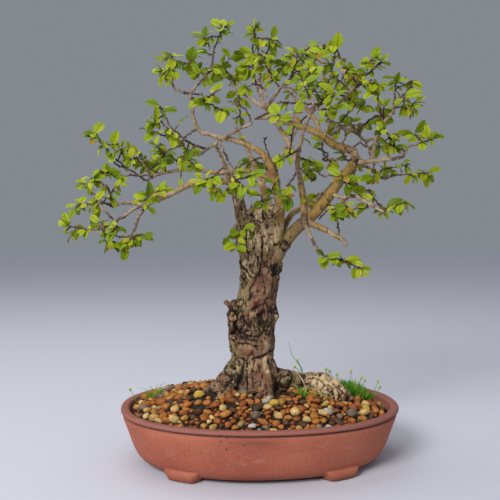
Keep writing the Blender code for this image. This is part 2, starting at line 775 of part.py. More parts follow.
def leaf_blade(base, direction, face, length):
    """Model one toothed, arched and folded leaf whose narrow foot is sunk in its twig."""
    along = direction.normalized()
    across = along.cross(face).normalized()
    normal = across.cross(along)
    half = length * LEAF_WIDTH / 2
    outline = [(0.0, 0.1), (0.28, 0.86), (0.56, 0.98), (0.64, 0.74)]
    spine = (0.34, 0.66)

    def place(t, s):
        arch = -0.16 * length * t * t + 0.10 * half * s * s
        return base + along * (length * t) + across * (half * s) + normal * arch

    points = [place(t, s) for t, s in outline]
    points += [place(1.0, 0.0)]
    points += [place(t, -s) for t, s in reversed(outline)]
    rim = len(points)
    for side in (0.5, -0.5):
        for t in spine:
            points.append(place(t, 0.0) + normal * (LEAF_THICKNESS * side - 0.12 * half))
    faces = []
    for near, far in ((rim, rim + 1), (rim + 2, rim + 3)):
        for edge in range(rim):
            after = (edge + 1) % rim
            mid = points[edge].lerp(points[after], 0.5) - base
            inner = near if mid.dot(along) < length * 0.5 else far
            faces.append((edge, after, inner))
        faces += bridging_fans(faces, near, far)
    return points, faces


def bridging_fans(faces, near, far):
    """Return the two triangles that join a blade's near and far fans on one face."""
    fan = [face for face in faces if face[2] in (near, far)]
    joins = []
    for index, face in enumerate(fan):
        after = fan[(index + 1) % len(fan)]
        if face[2] != after[2]:
            joins.append((face[1], after[2], face[2]))
    return joins


def twig_start(target, wood, clearance):
    """Return the nearest free place on a limb's middle line, with the limb's radius there."""
    free = [ball for ball in wood if clearance.is_free(("wood",), ball[0], TWIG_BASE_RADIUS + 0.8)]
    return min(free, key=lambda ball: (target - ball[0]).length + 2.0 * ball[1])


def limbs_near(place, wood_balls):
    """Return the names of the limbs that a twig sprouting at a place may touch at its foot."""
    near = {name for name, centre, radius in wood_balls if (place - centre).length < radius + 4.0}
    return sorted(near)


def path_is_free(clearance, owners, balls, margin):
    """Tell whether balls keep clear of every piece but the owners'."""
    return all(clearance.is_free(owners, place, radius + margin) for place, radius in balls)


def plan_twig(start, end, owner, clearance, rng, radii, foot=0.0):
    """Return the first zig-zag path that keeps clear of the other pieces past its foot."""
    for attempt in range(80):
        shift = min(6.0, 0.25 * attempt)
        aim = end + Vector([rng.uniform(-shift, shift) for _ in range(3)])
        path = twig_path(start, aim, rng)
        sizes = twig_radii(path, *radii)
        balls = strung_balls(path, sizes)
        beyond = [ball for ball in balls if (ball[0] - start).length > foot]
        clear_of_wood = path_is_free(clearance, (owner,), beyond, 0.35)
        if clear_of_wood and path_is_free(clearance, (owner, "wood"), balls, 0.5):
            return path, sizes
    return None, None


def plan_leaves(path, count, owner, clearance, rng):
    """Return leaves round a twig's end, clear of the other pieces."""
    leaves = []
    tip = path[-1]
    heading = (path[-1] - path[-2]).normalized()
    for index in range(count):
        for _ in range(40):
            length = rng.uniform(*LEAF_LENGTH)
            base = tip.lerp(path[-2], min(0.8, 0.28 * index))
            spread = Vector((rng.uniform(-1, 1), rng.uniform(-1, 1), rng.uniform(-0.35, 0.6)))
            direction = (heading * 0.45 + spread).normalized()
            face = Vector((rng.uniform(-0.5, 0.5), rng.uniform(-0.9, 0.3), 1.0)).normalized()
            if abs(direction.dot(face)) > 0.75:
                continue
            balls = leaf_balls(base, direction, length)
            near = [place for leaf in leaves for place, _ in leaf_balls(leaf[0], leaf[1], leaf[3])]
            apart = all((place - other).length > 0.55 * length for place, _ in balls for other in near)
            if apart and path_is_free(clearance, (owner,), balls, 0.5):
                leaves.append((base - direction * 0.4, direction, face, length))
                break
    return leaves


def leaf_balls(base, direction, length):
    """Return the balls that stand for one leaf."""
    return [(base + direction * length * t, length * size) for t, size in LEAF_BALLS]


def plan_spray(number, targets, wood, clearance):
    """Plan one spray: a main twig, side twigs and the leaves at their ends."""
    rng = random.Random(SPRAY_SEED + number)
    owner = f"spray_{number}"
    places = [seen(*target) for target in targets]
    base, radius = twig_start(places[0], wood, clearance)
    thickness = (min(TWIG_BASE_RADIUS, radius * 0.9), TWIG_TIP_RADIUS)
    main, sizes = plan_twig(base, places[0], owner, clearance, rng, thickness, radius + 2.2)
    if main is None:
        return None
    twigs = [(main, sizes)]
    leaves = plan_leaves(main, LEAVES_AT_TIP[0], owner, clearance, rng)
    for place, count in zip(places[1:], LEAVES_AT_TIP[1:]):
        joints = [path[i].lerp(path[i + 1], 0.6) for path, _ in twigs for i in range(len(path) - 1)]
        joint = min(joints, key=lambda j: (j - place).length)
        slim = (TWIG_TIP_RADIUS + 0.1, TWIG_TIP_RADIUS)
        side, side_sizes = plan_twig(joint, place, owner, clearance, rng, slim)
        if side is None:
            continue
        twigs.append((side, side_sizes))
        leaves += plan_leaves(side, count, owner, clearance, rng)
    for path, radii in twigs:
        for place, size in strung_balls(path, radii):
            clearance.add(owner, place, size)
    for base, direction, _, length in leaves:
        for place, size in leaf_balls(base, direction, length):
            clearance.add(owner, place, size)
    return twigs, leaves


def make_spray(number, twigs, leaves, wood_balls):
    """Fuse one spray's twigs and leaves, and trim its foot to sit on its limb."""
    main, sizes = twigs[0]
    body = tube(main, sizes, TWIG_SIDES)
    parts = [tube(path, radii, TWIG_SIDES) for path, radii in twigs[1:]]
    for base, direction, face, length in leaves:
        points, faces = leaf_blade(base, direction, face, length)
        parts.append(mesh_object("leaf", points, faces))
    apply_boolean(body, parts, "UNION")
    apply_boolean(body, [make_limb(name, GAP) for name in limbs_near(main[0], wood_balls)], "DIFFERENCE")
    return finish(body, f"leafy_spray_{number:02d}", "elm_leaf", smooth=False)


def make_sprays():
    """Plan all sprays so that they keep clear of the limbs and each other, then model them."""
    clearance = Clearance()
    wood = []
    wood_balls = []
    for name in LIMBS:
        path, radii = limb_path(name)
        balls = strung_balls(path, radii, 1.0)
        wood += balls[4:]
        for place, radius in balls:
            clearance.add("wood", place, radius)
            wood_balls.append((name, place, radius))
    for height, x, y, wide, deep in TRUNK:
        clearance.add("wood", turned((x, y, height)), max(wide, deep) + 1.0)
    sprays = []
    for number, targets in enumerate(SPRAYS, start=1):
        plan = plan_spray(number, targets, wood, clearance)
        if plan is not None:
            sprays.append(make_spray(number, *plan, wood_balls))
    return sprays


# Small plants in the gravel

def blade(base, tip):
    """Model one narrow, three-sided blade that arches from base to tip."""
    middle = base.lerp(tip, 0.55) + Vector((0.0, 0.0, (tip - base).length * 0.16))
    return tube([base, middle, tip], [0.75, 0.6, 0.35], 3, "blade")


def soil_point(x, y, lift):
    """Return a point over the soil's surface, in the pot's frame."""
    return Vector((x, y, soil_height(x, y) + lift))


def make_plant(name, seed):
    """Fuse a tuft of narrow blades, with seed capsules on stalks, over a small cushion."""
    centre, reach, height, blades, capsules = PLANTS[name]
    rng = random.Random(seed)
    middle = turned((*centre, 0.0))
    cushion = cushion_radius(reach)
    body = make_cushion(middle, cushion, PEBBLE_RISE * 1.6)
    parts = []
    for index in range(blades + capsules):
        angle = math.tau * 0.618 * index + rng.uniform(-0.3, 0.3)
        heading = Vector((math.cos(angle), math.sin(angle), 0.0))
        out = reach * math.sqrt((index + 0.5) / (blades + capsules))
        near = middle + heading * out * 0.45
        far = middle + heading * out
        rise = height * rng.uniform(0.75, 1.1) * (1.5 if index >= blades else 1.0)
        tip = soil_point(far.x, far.y, PEBBLE_RISE * 1.3 + rise)
        parts.append(blade(soil_point(near.x, near.y, PEBBLE_RISE), tip))
        if index >= blades:
            parts.append(make_capsule(tip))
    apply_boolean(body, parts, "UNION")
    return finish(body, name, "pearlwort", smooth=False)


def cushion_radius(reach):
    """Return the radius of a tuft's cushion."""
    return reach * 0.6


def make_cushion(middle, radius, height):
    """Model a low, closed cushion whose foot follows the soil."""
    points = []
    for share, lift in ((1.0, 0.8), (1.0, height * 0.6), (0.7, height * 0.92)):
        for side in range(8):
            angle = math.tau * side / 8
            x = middle.x + radius * share * math.cos(angle)
            y = middle.y + radius * share * math.sin(angle)
            points.append(soil_point(x, y, lift))
    return mesh_object("cushion", points, bridge_rings(3, 8))


def plant_cutters():
    """Return the cutters of the plain holes that the tufts fill in the gravel."""
    cutters = []
    for centre, reach, _, _, _ in PLANTS.values():
        middle = turned((*centre, 0.0))
        radius = cushion_radius(reach) + GAP + 0.3
        points = []
        for height in (20.0, 90.0):
            for side in range(8):
                angle = math.tau * side / 8
                x = middle.x + radius * math.cos(angle)
                points.append((x, middle.y + radius * math.sin(angle), height))
        cutter = mesh_object("plant_cutter", points, bridge_rings(2, 8))
        cutter.hide_render = True
        cutter.display_type = "WIRE"
        cutters.append(cutter)
    return cutters


def make_capsule(place):
    """Model one small seed capsule."""
    build = bmesh.new()
    bmesh.ops.create_icosphere(build, subdivisions=1, radius=1.5)
    points = [place + Vector((v.co.x, v.co.y, v.co.z * 1.25)) for v in build.verts]
    faces = [tuple(v.index for v in face.verts) for face in build.faces]
    build.free()
    return mesh_object("capsule", points, faces)


def centre_on_ground(objects):
    """Move the finished nodes so that the origin is under the middle of the whole object."""
    corners = [vert.co for obj in objects for vert in obj.data.vertices]
    low = Vector([min(c[axis] for c in corners) for axis in range(3)])
    high = Vector([max(c[axis] for c in corners) for axis in range(3)])
    shift = Vector((-(low.x + high.x) / 2, -(low.y + high.y) / 2, -low.z))
    for obj in objects:
        obj.data.transform(Matrix.Translation(shift))


def main():
    """Build the bonsai."""
    clear_scene()
    objects = [
        make_pot(),
        make_soil(root_cutters(GAP + 0.1)),
        make_gravel(root_cutters(GAP + 0.5) + plant_cutters()),
        make_tree_wood(),
    ]
    objects += make_sprays()
    objects += [make_plant(name, seed) for seed, name in enumerate(PLANTS, start=71)]
    centre_on_ground(objects)


main()
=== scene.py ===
"""Dresses the Chinese elm bonsai: bark, leaves, pebbles, soil, small plants and the fired clay pot.

Lengths are millimetres in the pot's own frame until a mesh is made. Places on the tree are given by
where they show in the photograph, in its pixels, with a depth in millimetres behind the trunk's middle.
"""
from __future__ import annotations

import itertools
import logging
import math
import random
from dataclasses import dataclass, field
from enum import Enum
from functools import partial

import bmesh
import bpy
from bpy.types import Collection, Material, Mesh, Node, NodeSocket, NodeTree, Object
from mathutils import Matrix, Vector, noise

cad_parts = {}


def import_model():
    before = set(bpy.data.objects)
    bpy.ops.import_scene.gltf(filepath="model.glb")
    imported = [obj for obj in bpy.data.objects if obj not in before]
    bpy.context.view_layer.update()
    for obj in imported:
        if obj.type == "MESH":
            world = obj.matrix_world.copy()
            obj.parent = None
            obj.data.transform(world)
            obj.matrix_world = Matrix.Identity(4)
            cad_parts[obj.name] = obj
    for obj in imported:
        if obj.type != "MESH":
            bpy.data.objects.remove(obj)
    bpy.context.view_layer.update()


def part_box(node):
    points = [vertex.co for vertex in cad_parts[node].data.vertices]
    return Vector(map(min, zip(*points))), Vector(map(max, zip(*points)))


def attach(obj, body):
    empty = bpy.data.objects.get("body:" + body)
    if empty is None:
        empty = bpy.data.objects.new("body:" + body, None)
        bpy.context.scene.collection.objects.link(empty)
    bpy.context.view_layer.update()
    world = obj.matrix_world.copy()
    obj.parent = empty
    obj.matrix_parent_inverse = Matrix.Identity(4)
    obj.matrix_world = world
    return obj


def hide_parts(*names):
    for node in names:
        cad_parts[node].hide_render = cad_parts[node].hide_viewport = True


MM = 0.001
LOG = logging.getLogger("bonsai")
Route = tuple[tuple[float, ...], ...]
Balls = list[tuple[Vector, float]]
Faces = list[tuple[int, ...]]

# Pot
POT_LENGTH = 250.0
POT_WIDTH = 200.0
OVAL_POWER = 2.15
RIM_WIDTH = 7.5
DRAIN_PLACES = (-42.0, 42.0)
DRAIN_RADIUS = 8.0
FOOT_ANGLES = (51.0, 129.0, 230.5, 303.0)
FOOT_HALF_ANGLE = 8.7
FOOT_INSET = (12.0, 33.0)

# Planting
SOIL_EDGE = 41.0
SOIL_RISE = 21.0
SOIL_CENTRE = (-8.0, 6.0)

# Trunk rings from the buried plug to the broken top: (height, centre x, centre y, half width, half depth)
TRUNK: Route = (
    (42, -9, 4, 24, 22), (60, -9, 4, 31, 27), (66, -9, 4, 31, 27), (73, -9, 4, 28, 25),
    (80, -7, 4, 23, 22), (90, -6, 4, 19.5, 19.5), (97, -7, 4, 20.5, 20), (105, -7, 4, 21.5, 20.5),
    (112, -7, 4, 20, 19.5), (122, -6, 4, 20.5, 19.5), (132, -5, 4, 19.5, 19), (142, -4, 4, 18.5, 18),
    (152, -2, 4, 18, 17.5), (166, -1, 4, 18, 17), (180, 0, 4, 19, 17), (194, 2, 3, 20.5, 17),
    (207, 3, 3, 20.5, 16.5), (219, 3, 3, 17, 14), (228, 5, 3, 12.5, 10.5),
)

# Lumps on the trunk and the surface root: (centre, half sizes)
BURLS = (
    ((6, -14, 130), (9, 8, 14)), ((-23, -4, 126), (7, 9, 17)), ((-9, -16, 112), (9, 5, 5)),
    ((14, 2, 172), (7, 9, 8)), ((-11, -12, 178), (8, 4, 12)), ((-19, 2, 204), (6, 8, 9)),
    ((-4, 22, 140), (12, 6, 18)), ((4, 20, 186), (11, 6, 10)),
)

# Surface roots, each (x, y, z, radius) from the trunk outward
ROOTS: tuple[Route, ...] = (
    (
        (8, 0, 70, 12), (24, 0, 68, 10.5), (38, -1, 65.5, 9.5), (50, -3, 66, 10.5), (62, -8, 64, 9),
        (72, -14, 60, 6.5), (80, -22, 54, 3.5),
    ),
    ((50, -5, 64, 6), (58, -14, 61, 4.5), (64, -22, 56, 3)),
    ((-24, 0, 68, 9), (-38, -4, 64.5, 6.5), (-50, -8, 59, 3.5)),
    ((-20, -12, 68, 8), (-30, -24, 63, 5.5), (-38, -34, 57, 3)),
    ((2, -16, 68, 8), (6, -28, 63, 5.5), (10, -38, 58, 3)),
)

# Finger roots that reach from the surface root to the gravel
FINGER_ROOTS: tuple[Route, ...] = (
    ((62, -13, 68, 2.4), (65, -21, 66, 2.2), (66.5, -26, 60, 1.9), (65, -27, 51, 1.6)),
    ((66, -11, 68, 2.4), (71, -19, 66.5, 2.3), (73.5, -25, 61, 2.1), (72.5, -27, 51, 1.7)),
    ((52, -14, 62, 2.4), (56, -20, 60, 2), (58, -25, 55, 1.6)),
)

# Limbs as (across, down, depth, radius): across and down in the photograph's pixels
LIMBS: dict[str, Route] = {
    "left_fork": (
        (247, 240, -6, 7), (243, 222, -9, 6), (240, 206, -10, 5.6), (237, 192, -10, 5.2), (236, 181, -9, 4.2),
    ),
    "low_left": (
        (236, 185, -10, 3.8), (225, 181, -14, 3.3), (209, 183.5, -19, 3.1), (192, 185, -24, 3), (181, 189, -27, 2.9),
        (170, 194, -30, 2.9), (160, 198.5, -33, 2.9), (153, 202, -35, 2.4),
    ),
    "low_left_high": (
        (153, 202, -35, 1.9), (142, 205, -36, 1.7), (133, 203, -35, 1.6), (124, 203, -33, 1.4), (113, 207, -30, 1.1),
    ),
    "low_left_long": (
        (144, 205, -36, 1.7), (134, 209, -42, 1.6), (126, 215, -46, 1.5), (117, 220, -50, 1.4), (108, 226, -52, 1.2),
        (95, 230, -54, 1),
    ),
    "low_left_down": ((151, 203, -35, 1.6), (143, 211, -44, 1.4), (138, 217, -48, 1.3), (136, 227, -50, 1.2)),
    "high_left": (
        (273, 178, 4, 3.2), (258, 173.5, 8, 3), (246, 171, 12, 2.9), (230, 172, 16, 2.8), (217, 173, 20, 2.6),
        (205, 171, 22, 2.4), (193, 170, 24, 2.2), (181, 170, 26, 2), (170, 172, 28, 1.8), (156, 175, 30, 1.6),
        (147, 181, 30, 1.2),
    ),
    "arch": (
        (277, 243, -12, 5), (279.5, 222, -13, 4.4), (280, 206, -6, 4.1), (277, 195, 2, 4), (274, 178, 4, 3.8),
        (271, 168, 5, 3.6), (265, 157, 6, 3.5), (256, 149, 8, 3.3), (243, 143, 10, 3.1), (232, 140, 12, 2.9),
        (222, 138.5, 13, 2.6), (208, 134.5, 14, 2.4), (198, 129, 14, 2.1), (193.5, 118, 12, 1.9),
        (191.5, 105, 10, 1.8), (190.5, 94, 8, 1.6),
    ),
    "arch_left": ((190.5, 94, 8, 1.4), (179, 91, 4, 1.3), (173, 86, 2, 1.2)),
    "arch_top": ((190.5, 94, 8, 1.4), (196, 86, 12, 1.3), (204, 78, 16, 1.2), (211, 68, 20, 1.1), (214, 51, 22, 0.9)),
    "arch_cross": ((222, 139, 13, 1.7), (232, 133, 4, 1.5), (241, 128, -6, 1.4), (252, 124, -14, 1.2)),
    "arch_under": ((220, 140, 13, 1.6), (208, 149, 8, 1.4), (199, 155, 4, 1.2)),
    "arch_under_left": ((207, 149, 8, 1.2), (192, 144, 0, 1.1), (181, 136, -8, 1), (170, 127, -14, 0.9)),
    "rising": (
        (305, 219, -10, 3.6), (303, 197, 0, 3.2), (300, 180, 4, 3.1), (296, 159, 10, 2.9), (290, 146, 18, 2.7),
        (285, 136, 22, 2.6), (279, 127, 25, 2.5), (273, 119, 27, 2.4), (267, 109, 28, 2.2), (262, 98, 28, 1.9),
        (260, 82, 26, 1.6), (260, 66, 24, 1.4),
    ),
    "right": (
        (270, 265, -1, 8), (284, 243, -6, 6.4), (294, 231, -8, 5.8), (304, 222, -10, 5.4), (315, 213, -13, 4.9),
        (327, 199, -16, 4.6), (340, 181, -18, 4.3), (348, 171, -16, 4.3), (355, 162, -10, 4.4),
    ),
    "return": (
        (355, 163, -10, 3.9), (354, 153, -2, 3.9), (345, 148, 4, 3.9), (334, 145, 8, 3.8), (322, 136, 10, 3.6),
        (311, 130, 12, 3.4), (300, 126.5, 13, 3.2), (290, 123, 13, 3), (280, 120.5, 12, 2.8), (266, 117, 9, 2.2),
        (255, 119, 5, 1.6),
    ),
    "upper_left": ((267, 109, 28, 2), (255, 102, 34, 1.9), (242, 92, 40, 1.7), (230, 84, 44, 1.4)),
    "upper_mid": (
        (322, 136, 10, 2.4), (317, 124, 18, 2.3), (309, 111, 26, 2.2), (299, 104, 32, 2), (292, 94, 38, 1.7),
        (285, 86, 44, 1.4),
    ),
    "upper_front": ((267, 108, 28, 2), (274, 97, 14, 1.8), (281, 88, 2, 1.6), (290, 80, -10, 1.3)),
    "upper_right": (
        (324, 137, 9, 1.9), (330, 122, 2, 1.7), (338, 106, -10, 1.6), (346, 96, -18, 1.4), (354, 88, -24, 1.3),
        (363, 78, -30, 1.1),
    ),
    "far_right": (
        (332, 144, 8, 2), (338, 128, 18, 1.8), (356, 133, 28, 1.7), (365, 140, 34, 1.6), (379, 137, 40, 1.3),
    ),
    "right_high": (
        (372, 161, -14, 1.9), (375, 141, -20, 1.6), (382, 124, -26, 1.5), (393, 113, -30, 1.4), (394, 104, -30, 1.2),
    ),
    "right_level": (
        (353, 163, -10, 2.9), (370, 161, -14, 2.3), (387, 159, -20, 2), (402, 157, -26, 1.6), (408, 147, -30, 1.3),
    ),
    "right_low": ((354, 163, -10, 2), (369, 168, 2, 1.7), (382, 178, 12, 1.5), (394, 175, 20, 1.2)),
    "under_right": (
        (331, 194, -16, 2.2), (343, 197, -26, 1.9), (358, 197, -36, 1.8), (372, 206, -46, 1.5), (384, 212, -52, 1.2),
    ),
    "droop": (
        (304, 222, -10, 3.4), (314, 225, -14, 3), (328, 231, -20, 2.7), (341, 239, -26, 2.3), (347, 246, -30, 1.7),
    ),
    "droop_front": ((304, 223, -11, 2.3), (312, 240, -26, 1.7), (319, 254, -38, 1.3)),
    "back_right": (
        (279, 236, 4, 3.6), (292, 214, 16, 2.8), (303, 208, 30, 2.5), (316, 200, 46, 2.2), (330, 186, 60, 1.8),
        (344, 170, 72, 1.3),
    ),
    "back": (
        (262, 233, 6, 5), (268, 208, 28, 4.1), (263, 187, 48, 3.5), (254, 165, 66, 3), (246, 146, 78, 2.4),
        (236, 128, 88, 1.7),
    ),
    "back_up": ((262, 184, 51, 2.6), (276, 165, 66, 2.1), (290, 142, 80, 1.8), (302, 120, 90, 1.3)),
    "front_up": (
        (301, 184, 3, 2.6), (297, 165, -20, 2.2), (300, 145, -44, 2), (306, 124, -62, 1.7), (314, 106, -74, 1.2),
    ),
    "front_left": ((238, 196, -10, 2.8), (230, 180, -36, 2.2), (223, 162, -54, 1.9), (215, 144, -68, 1.4)),
    "crossing": (
        (241, 210, -9, 1.9), (252, 219, -27, 1.3), (262, 222, -31, 1.2), (272, 217, -29, 1.1), (281, 208, -26, 1),
    ),
}

# Pale dead shoots before the trunk
DRY_SHOOTS: tuple[Route, ...] = (
    (
        (242, 211, -13, 0.9), (252, 219, -22, 0.9), (262, 222, -25, 0.9), (272, 217, -24, 0.9), (281, 208, -20, 0.8),
        (285, 200, -14, 0.7), (287, 187, -8, 0.6),
    ),
    ((262, 221, -24, 0.8), (265, 231, -19, 0.8), (267, 241, -17, 0.7), (267, 252, -16, 0.6)),
    ((296, 373, -9, 0.7), (300.5, 377, -14, 0.7), (304, 384, -17, 0.6), (306.5, 394, -19, 0.6)),
)

# Fine twigs that the limbs bear, read off in the same way
FINE_TWIGS: tuple[Route, ...] = (
    ((191, 94, 8, 0.9), (200, 94, 4, 0.8), (207, 97, 0, 0.8), (213, 94, -4, 0.7), (220, 89, -8, 0.6)),
    ((181, 137, -8, 0.8), (166, 136, -10, 0.7), (152, 131, -12, 0.7), (140, 128, -14, 0.5)),
    ((197, 129, 14, 1), (186, 136, 20, 0.9), (178, 146, 26, 0.8), (162, 153, 32, 0.8), (146, 160, 36, 0.6)),
    ((219, 139, 10, 1.1), (223, 150, 6, 1), (228, 162, 2, 1), (219, 171, -2, 0.9), (214, 177, -6, 0.7)),
    ((228, 162, 2, 0.8), (234, 168, 0, 0.6)),
    ((183, 170, 24, 1.1), (178, 163, 26, 1), (170, 154, 28, 0.8), (163, 147, 30, 0.7)),
    ((147, 181, 30, 0.9), (139, 176, 28, 0.9), (129, 169, 26, 0.8), (122, 167, 24, 0.7)),
    ((122, 167, 24, 0.8), (115, 163, 23, 0.8), (108, 150, 22, 0.7), (101, 141, 18, 0.6), (95, 134, 14, 0.6)),
    ((139, 162, 30, 0.7), (131, 155, 32, 0.6), (125, 148, 32, 0.5)),
    ((113, 219, -50, 0.9), (107, 213, -48, 0.8), (101, 206, -46, 0.7), (96, 200, -44, 0.6)),
    ((112, 207, -31, 0.9), (110, 194, -29, 0.8), (105, 185, -26, 0.7), (96, 181, -22, 0.6)),
    ((130, 236, -56, 0.9), (122, 237, -56, 0.8), (112, 235, -54, 0.6)),
    ((255, 119, 2, 1), (268, 113, -4, 1), (278, 103, -8, 0.9), (294, 103, -10, 0.9), (310, 104, -12, 0.8),
     (323, 104, -14, 0.7)),
    ((331, 131, 8, 1.1), (340, 122, 2, 1), (350, 111, -4, 0.9), (358, 102, -8, 0.7)),
    ((365, 140, 34, 1.1), (369, 150, 30, 1), (371, 158, 26, 0.8)),
    ((357, 133, 28, 1), (367, 122, 30, 0.9), (378, 115, 32, 0.7)),
    ((394, 104, -30, 1), (399, 98, -34, 0.9), (405, 94, -36, 0.8), (409, 88, -38, 0.7), (413, 82, -40, 0.6)),
    ((383, 123, -26, 1), (380, 110, -34, 0.9), (378, 98, -40, 0.8), (376, 86, -46, 0.6)),
    ((340, 237, -25, 1), (338, 227, -30, 0.9), (337, 216, -34, 0.7)),
    ((280, 190, -2, 0.9), (277, 171, -10, 0.8), (268, 153, -14, 0.7), (264, 140, -16, 0.6), (267, 138, -17, 0.5)),
    ((281, 205, 2, 1.2), (287, 187, -6, 1), (295, 175, -10, 0.9), (299, 158, -10, 0.8)),
    ((324, 137, 9, 1), (322, 147, -2, 0.9), (327, 158, -8, 0.9), (340, 160, -12, 0.8), (351, 160, -12, 0.7)),
    ((344, 176, -18, 0.9), (333, 175, -24, 0.8), (323, 176, -26, 0.7), (316, 170, -28, 0.6)),
    ((354, 168, -14, 1), (355, 180, -20, 0.9), (362, 190, -24, 0.8), (371, 190, -26, 0.6)),
    ((262, 98, 28, 1.1), (256, 84, 32, 1), (253, 66, 30, 0.8), (253, 44, 26, 0.7)),
    ((260, 66, 24, 1), (266, 56, 26, 0.8), (270, 44, 28, 0.7)),
    ((286, 86, 40, 1), (293, 76, 44, 0.9), (302, 64, 40, 0.8), (309, 52, 34, 0.6)),
    ((312, 113, 24, 1), (322, 100, 30, 0.9), (328, 84, 34, 0.8), (333, 66, 30, 0.7), (336, 50, 22, 0.6)),
    ((354, 88, -24, 0.9), (362, 84, -18, 0.8), (372, 80, -12, 0.6)),
    ((363, 78, -30, 0.9), (372, 70, -34, 0.8), (381, 62, -36, 0.6)),
    ((267, 98, 6, 0.8), (264, 89, 4, 0.8), (256, 84, 2, 0.7), (247, 87, 0, 0.6)),
    ((341, 88, -16, 0.9), (345, 79, -18, 0.8), (342, 74, -20, 0.7)),
    ((316, 147.5, 6, 0.8), (328, 154.5, 0, 0.8), (323, 160, -4, 0.7), (337, 160, -8, 0.7)),
    ((300, 168, 6, 0.8), (307, 175, 2, 0.8), (312.5, 180.5, 0, 0.7), (314.5, 177, -2, 0.6)),
    ((355, 181, -18, 0.9), (357, 192, -22, 0.8), (366, 201, -28, 0.7), (367.5, 208, -32, 0.6)),
    ((319, 219, -15, 0.8), (324.5, 213, -20, 0.7), (331.5, 208, -24, 0.6)),
    ((302, 198, -2, 0.8), (312.5, 201, -12, 0.8), (326, 204.5, -18, 0.8), (335, 206, -24, 0.7),
     (349, 209.5, -30, 0.7), (359, 208, -34, 0.6)),
    ((299, 94, 30, 0.8), (311, 92.5, 26, 0.7), (318, 86, 22, 0.6)),
    ((290, 87, 36, 0.8), (300.5, 96, 30, 0.8), (304, 94, 28, 0.7)),
    ((240, 91, 40, 0.8), (239, 103, 32, 0.8), (240, 115, 22, 0.7), (233, 119, 16, 0.7)),
    ((252, 124, -12, 0.8), (246, 110, -6, 0.7), (237, 105, 0, 0.7), (228, 101, 4, 0.6)),
    ((346, 96, -18, 0.8), (336, 94, -14, 0.7), (330, 88, -10, 0.6)),
    ((309, 111, 26, 0.8), (315, 107, 20, 0.8), (323, 110, 14, 0.7), (333, 107, 8, 0.6)),
    ((281, 88, 2, 0.8), (273, 80, 4, 0.7), (268, 70, 6, 0.6)),
    ((265, 157, 6, 0.8), (254, 160, 2, 0.7), (247, 167, -2, 0.6)),
    ((352, 150, 0, 0.9), (359, 143, 2, 0.8), (366, 147, 4, 0.7)),
    ((387, 159, -20, 0.8), (392, 150, -22, 0.7), (398, 147, -24, 0.6)),
    ((340, 147, 6, 0.8), (346, 136, 4, 0.7), (343, 128, 2, 0.6)),
)

# Leafy sprays: the places their twigs reach, as (across, down, depth)
SPRAYS: tuple[Route, ...] = (
    ((222, 26, 24), (205, 38, 14)), ((172, 56, -6), (189, 62, 4), (165, 71, 8)), ((198, 72, 34), (216, 72, 40)),
    ((237, 77, 46), (222, 66, 56), (240, 100, 62)), ((205, 100, -8), (222, 110, -4)),
    ((254, 30, 18), (271, 39, 28), (252, 56, 34)), ((264, 55, 6), (272, 74, 0)), ((298, 55, -22), (308, 48, -6)),
    ((302, 79, -56), (316, 58, -40)), ((306, 70, 60), (284, 66, 60)), ((335, 45, 14), (322, 47, 30)),
    ((334, 76, -24), (348, 69, -34)), ((382, 62, -34), (371, 60, -40)), ((374, 83, -48), (356, 80, -8)),
    ((396, 79, -14), (412, 81, -30)), ((411, 106, -44), (404, 97, -50)), ((384, 107, 20), (381, 115, 40)),
    ((332, 107, -80), (334, 95, -88)), ((353, 98, 4), (364, 108, 14)), ((326, 96, 96), (312, 86, 100)),
    ((350, 121, 50), (366, 124, 60), (328, 118, 70)), ((387, 143, 48), (398, 134, 52)),
    ((432, 139, -38), (415, 134, -26)), ((389, 144, -46), (384, 128, -58)),
    ((160, 106, -18), (154, 122, -24), (172, 133, -22)), ((94, 134, 14), (112, 145, 22), (122, 149, 30)),
    ((138, 152, 38), (131, 160, 28)), ((101, 172, 8), (112, 171, 20)), ((146, 165, 46), (160, 163, 52)),
    ((158, 146, 12), (166, 152, 6)), ((182, 161, -8), (193, 165, -14)), ((190, 150, 50), (180, 140, 60)),
    ((85, 184, -12), (92, 179, -22), (115, 187, -20)), ((148, 197, -58), (160, 190, -50), (164, 186, -6)),
    ((205, 180, -44), (215, 190, -48)), ((93, 207, -34), (78, 205, -26)), ((68, 226, -50), (74, 233, -56)),
    ((108, 242, -46), (118, 226, -66), (100, 223, -34)), ((125, 247, -52), (144, 234, -58), (131, 240, -62)),
    ((244, 188, -60), (252, 175, -58), (223, 194, -44)), ((228, 238, -34), (236, 246, -40)),
    ((261, 196, -50), (275, 184, -46), (287, 197, -52)), ((252, 164, 92), (268, 166, 90)),
    ((281, 159, -44), (294, 113, -54), (279, 115, -48)), ((312, 162, 30), (311, 171, 44)),
    ((342, 176, -44), (349, 183, -40)), ((356, 164, 76), (340, 150, 84), (330, 162, 90)),
    ((374, 176, -16), (391, 168, 34), (407, 165, 30)), ((418, 174, 30), (428, 173, 26)),
    ((318, 196, 60), (310, 203, 66)), ((333, 211, -50), (346, 206, -56)),
    ((386, 209, -46), (402, 203, -60), (368, 190, -26)), ((326, 257, -46), (345, 260, -34), (360, 268, -40)),
)

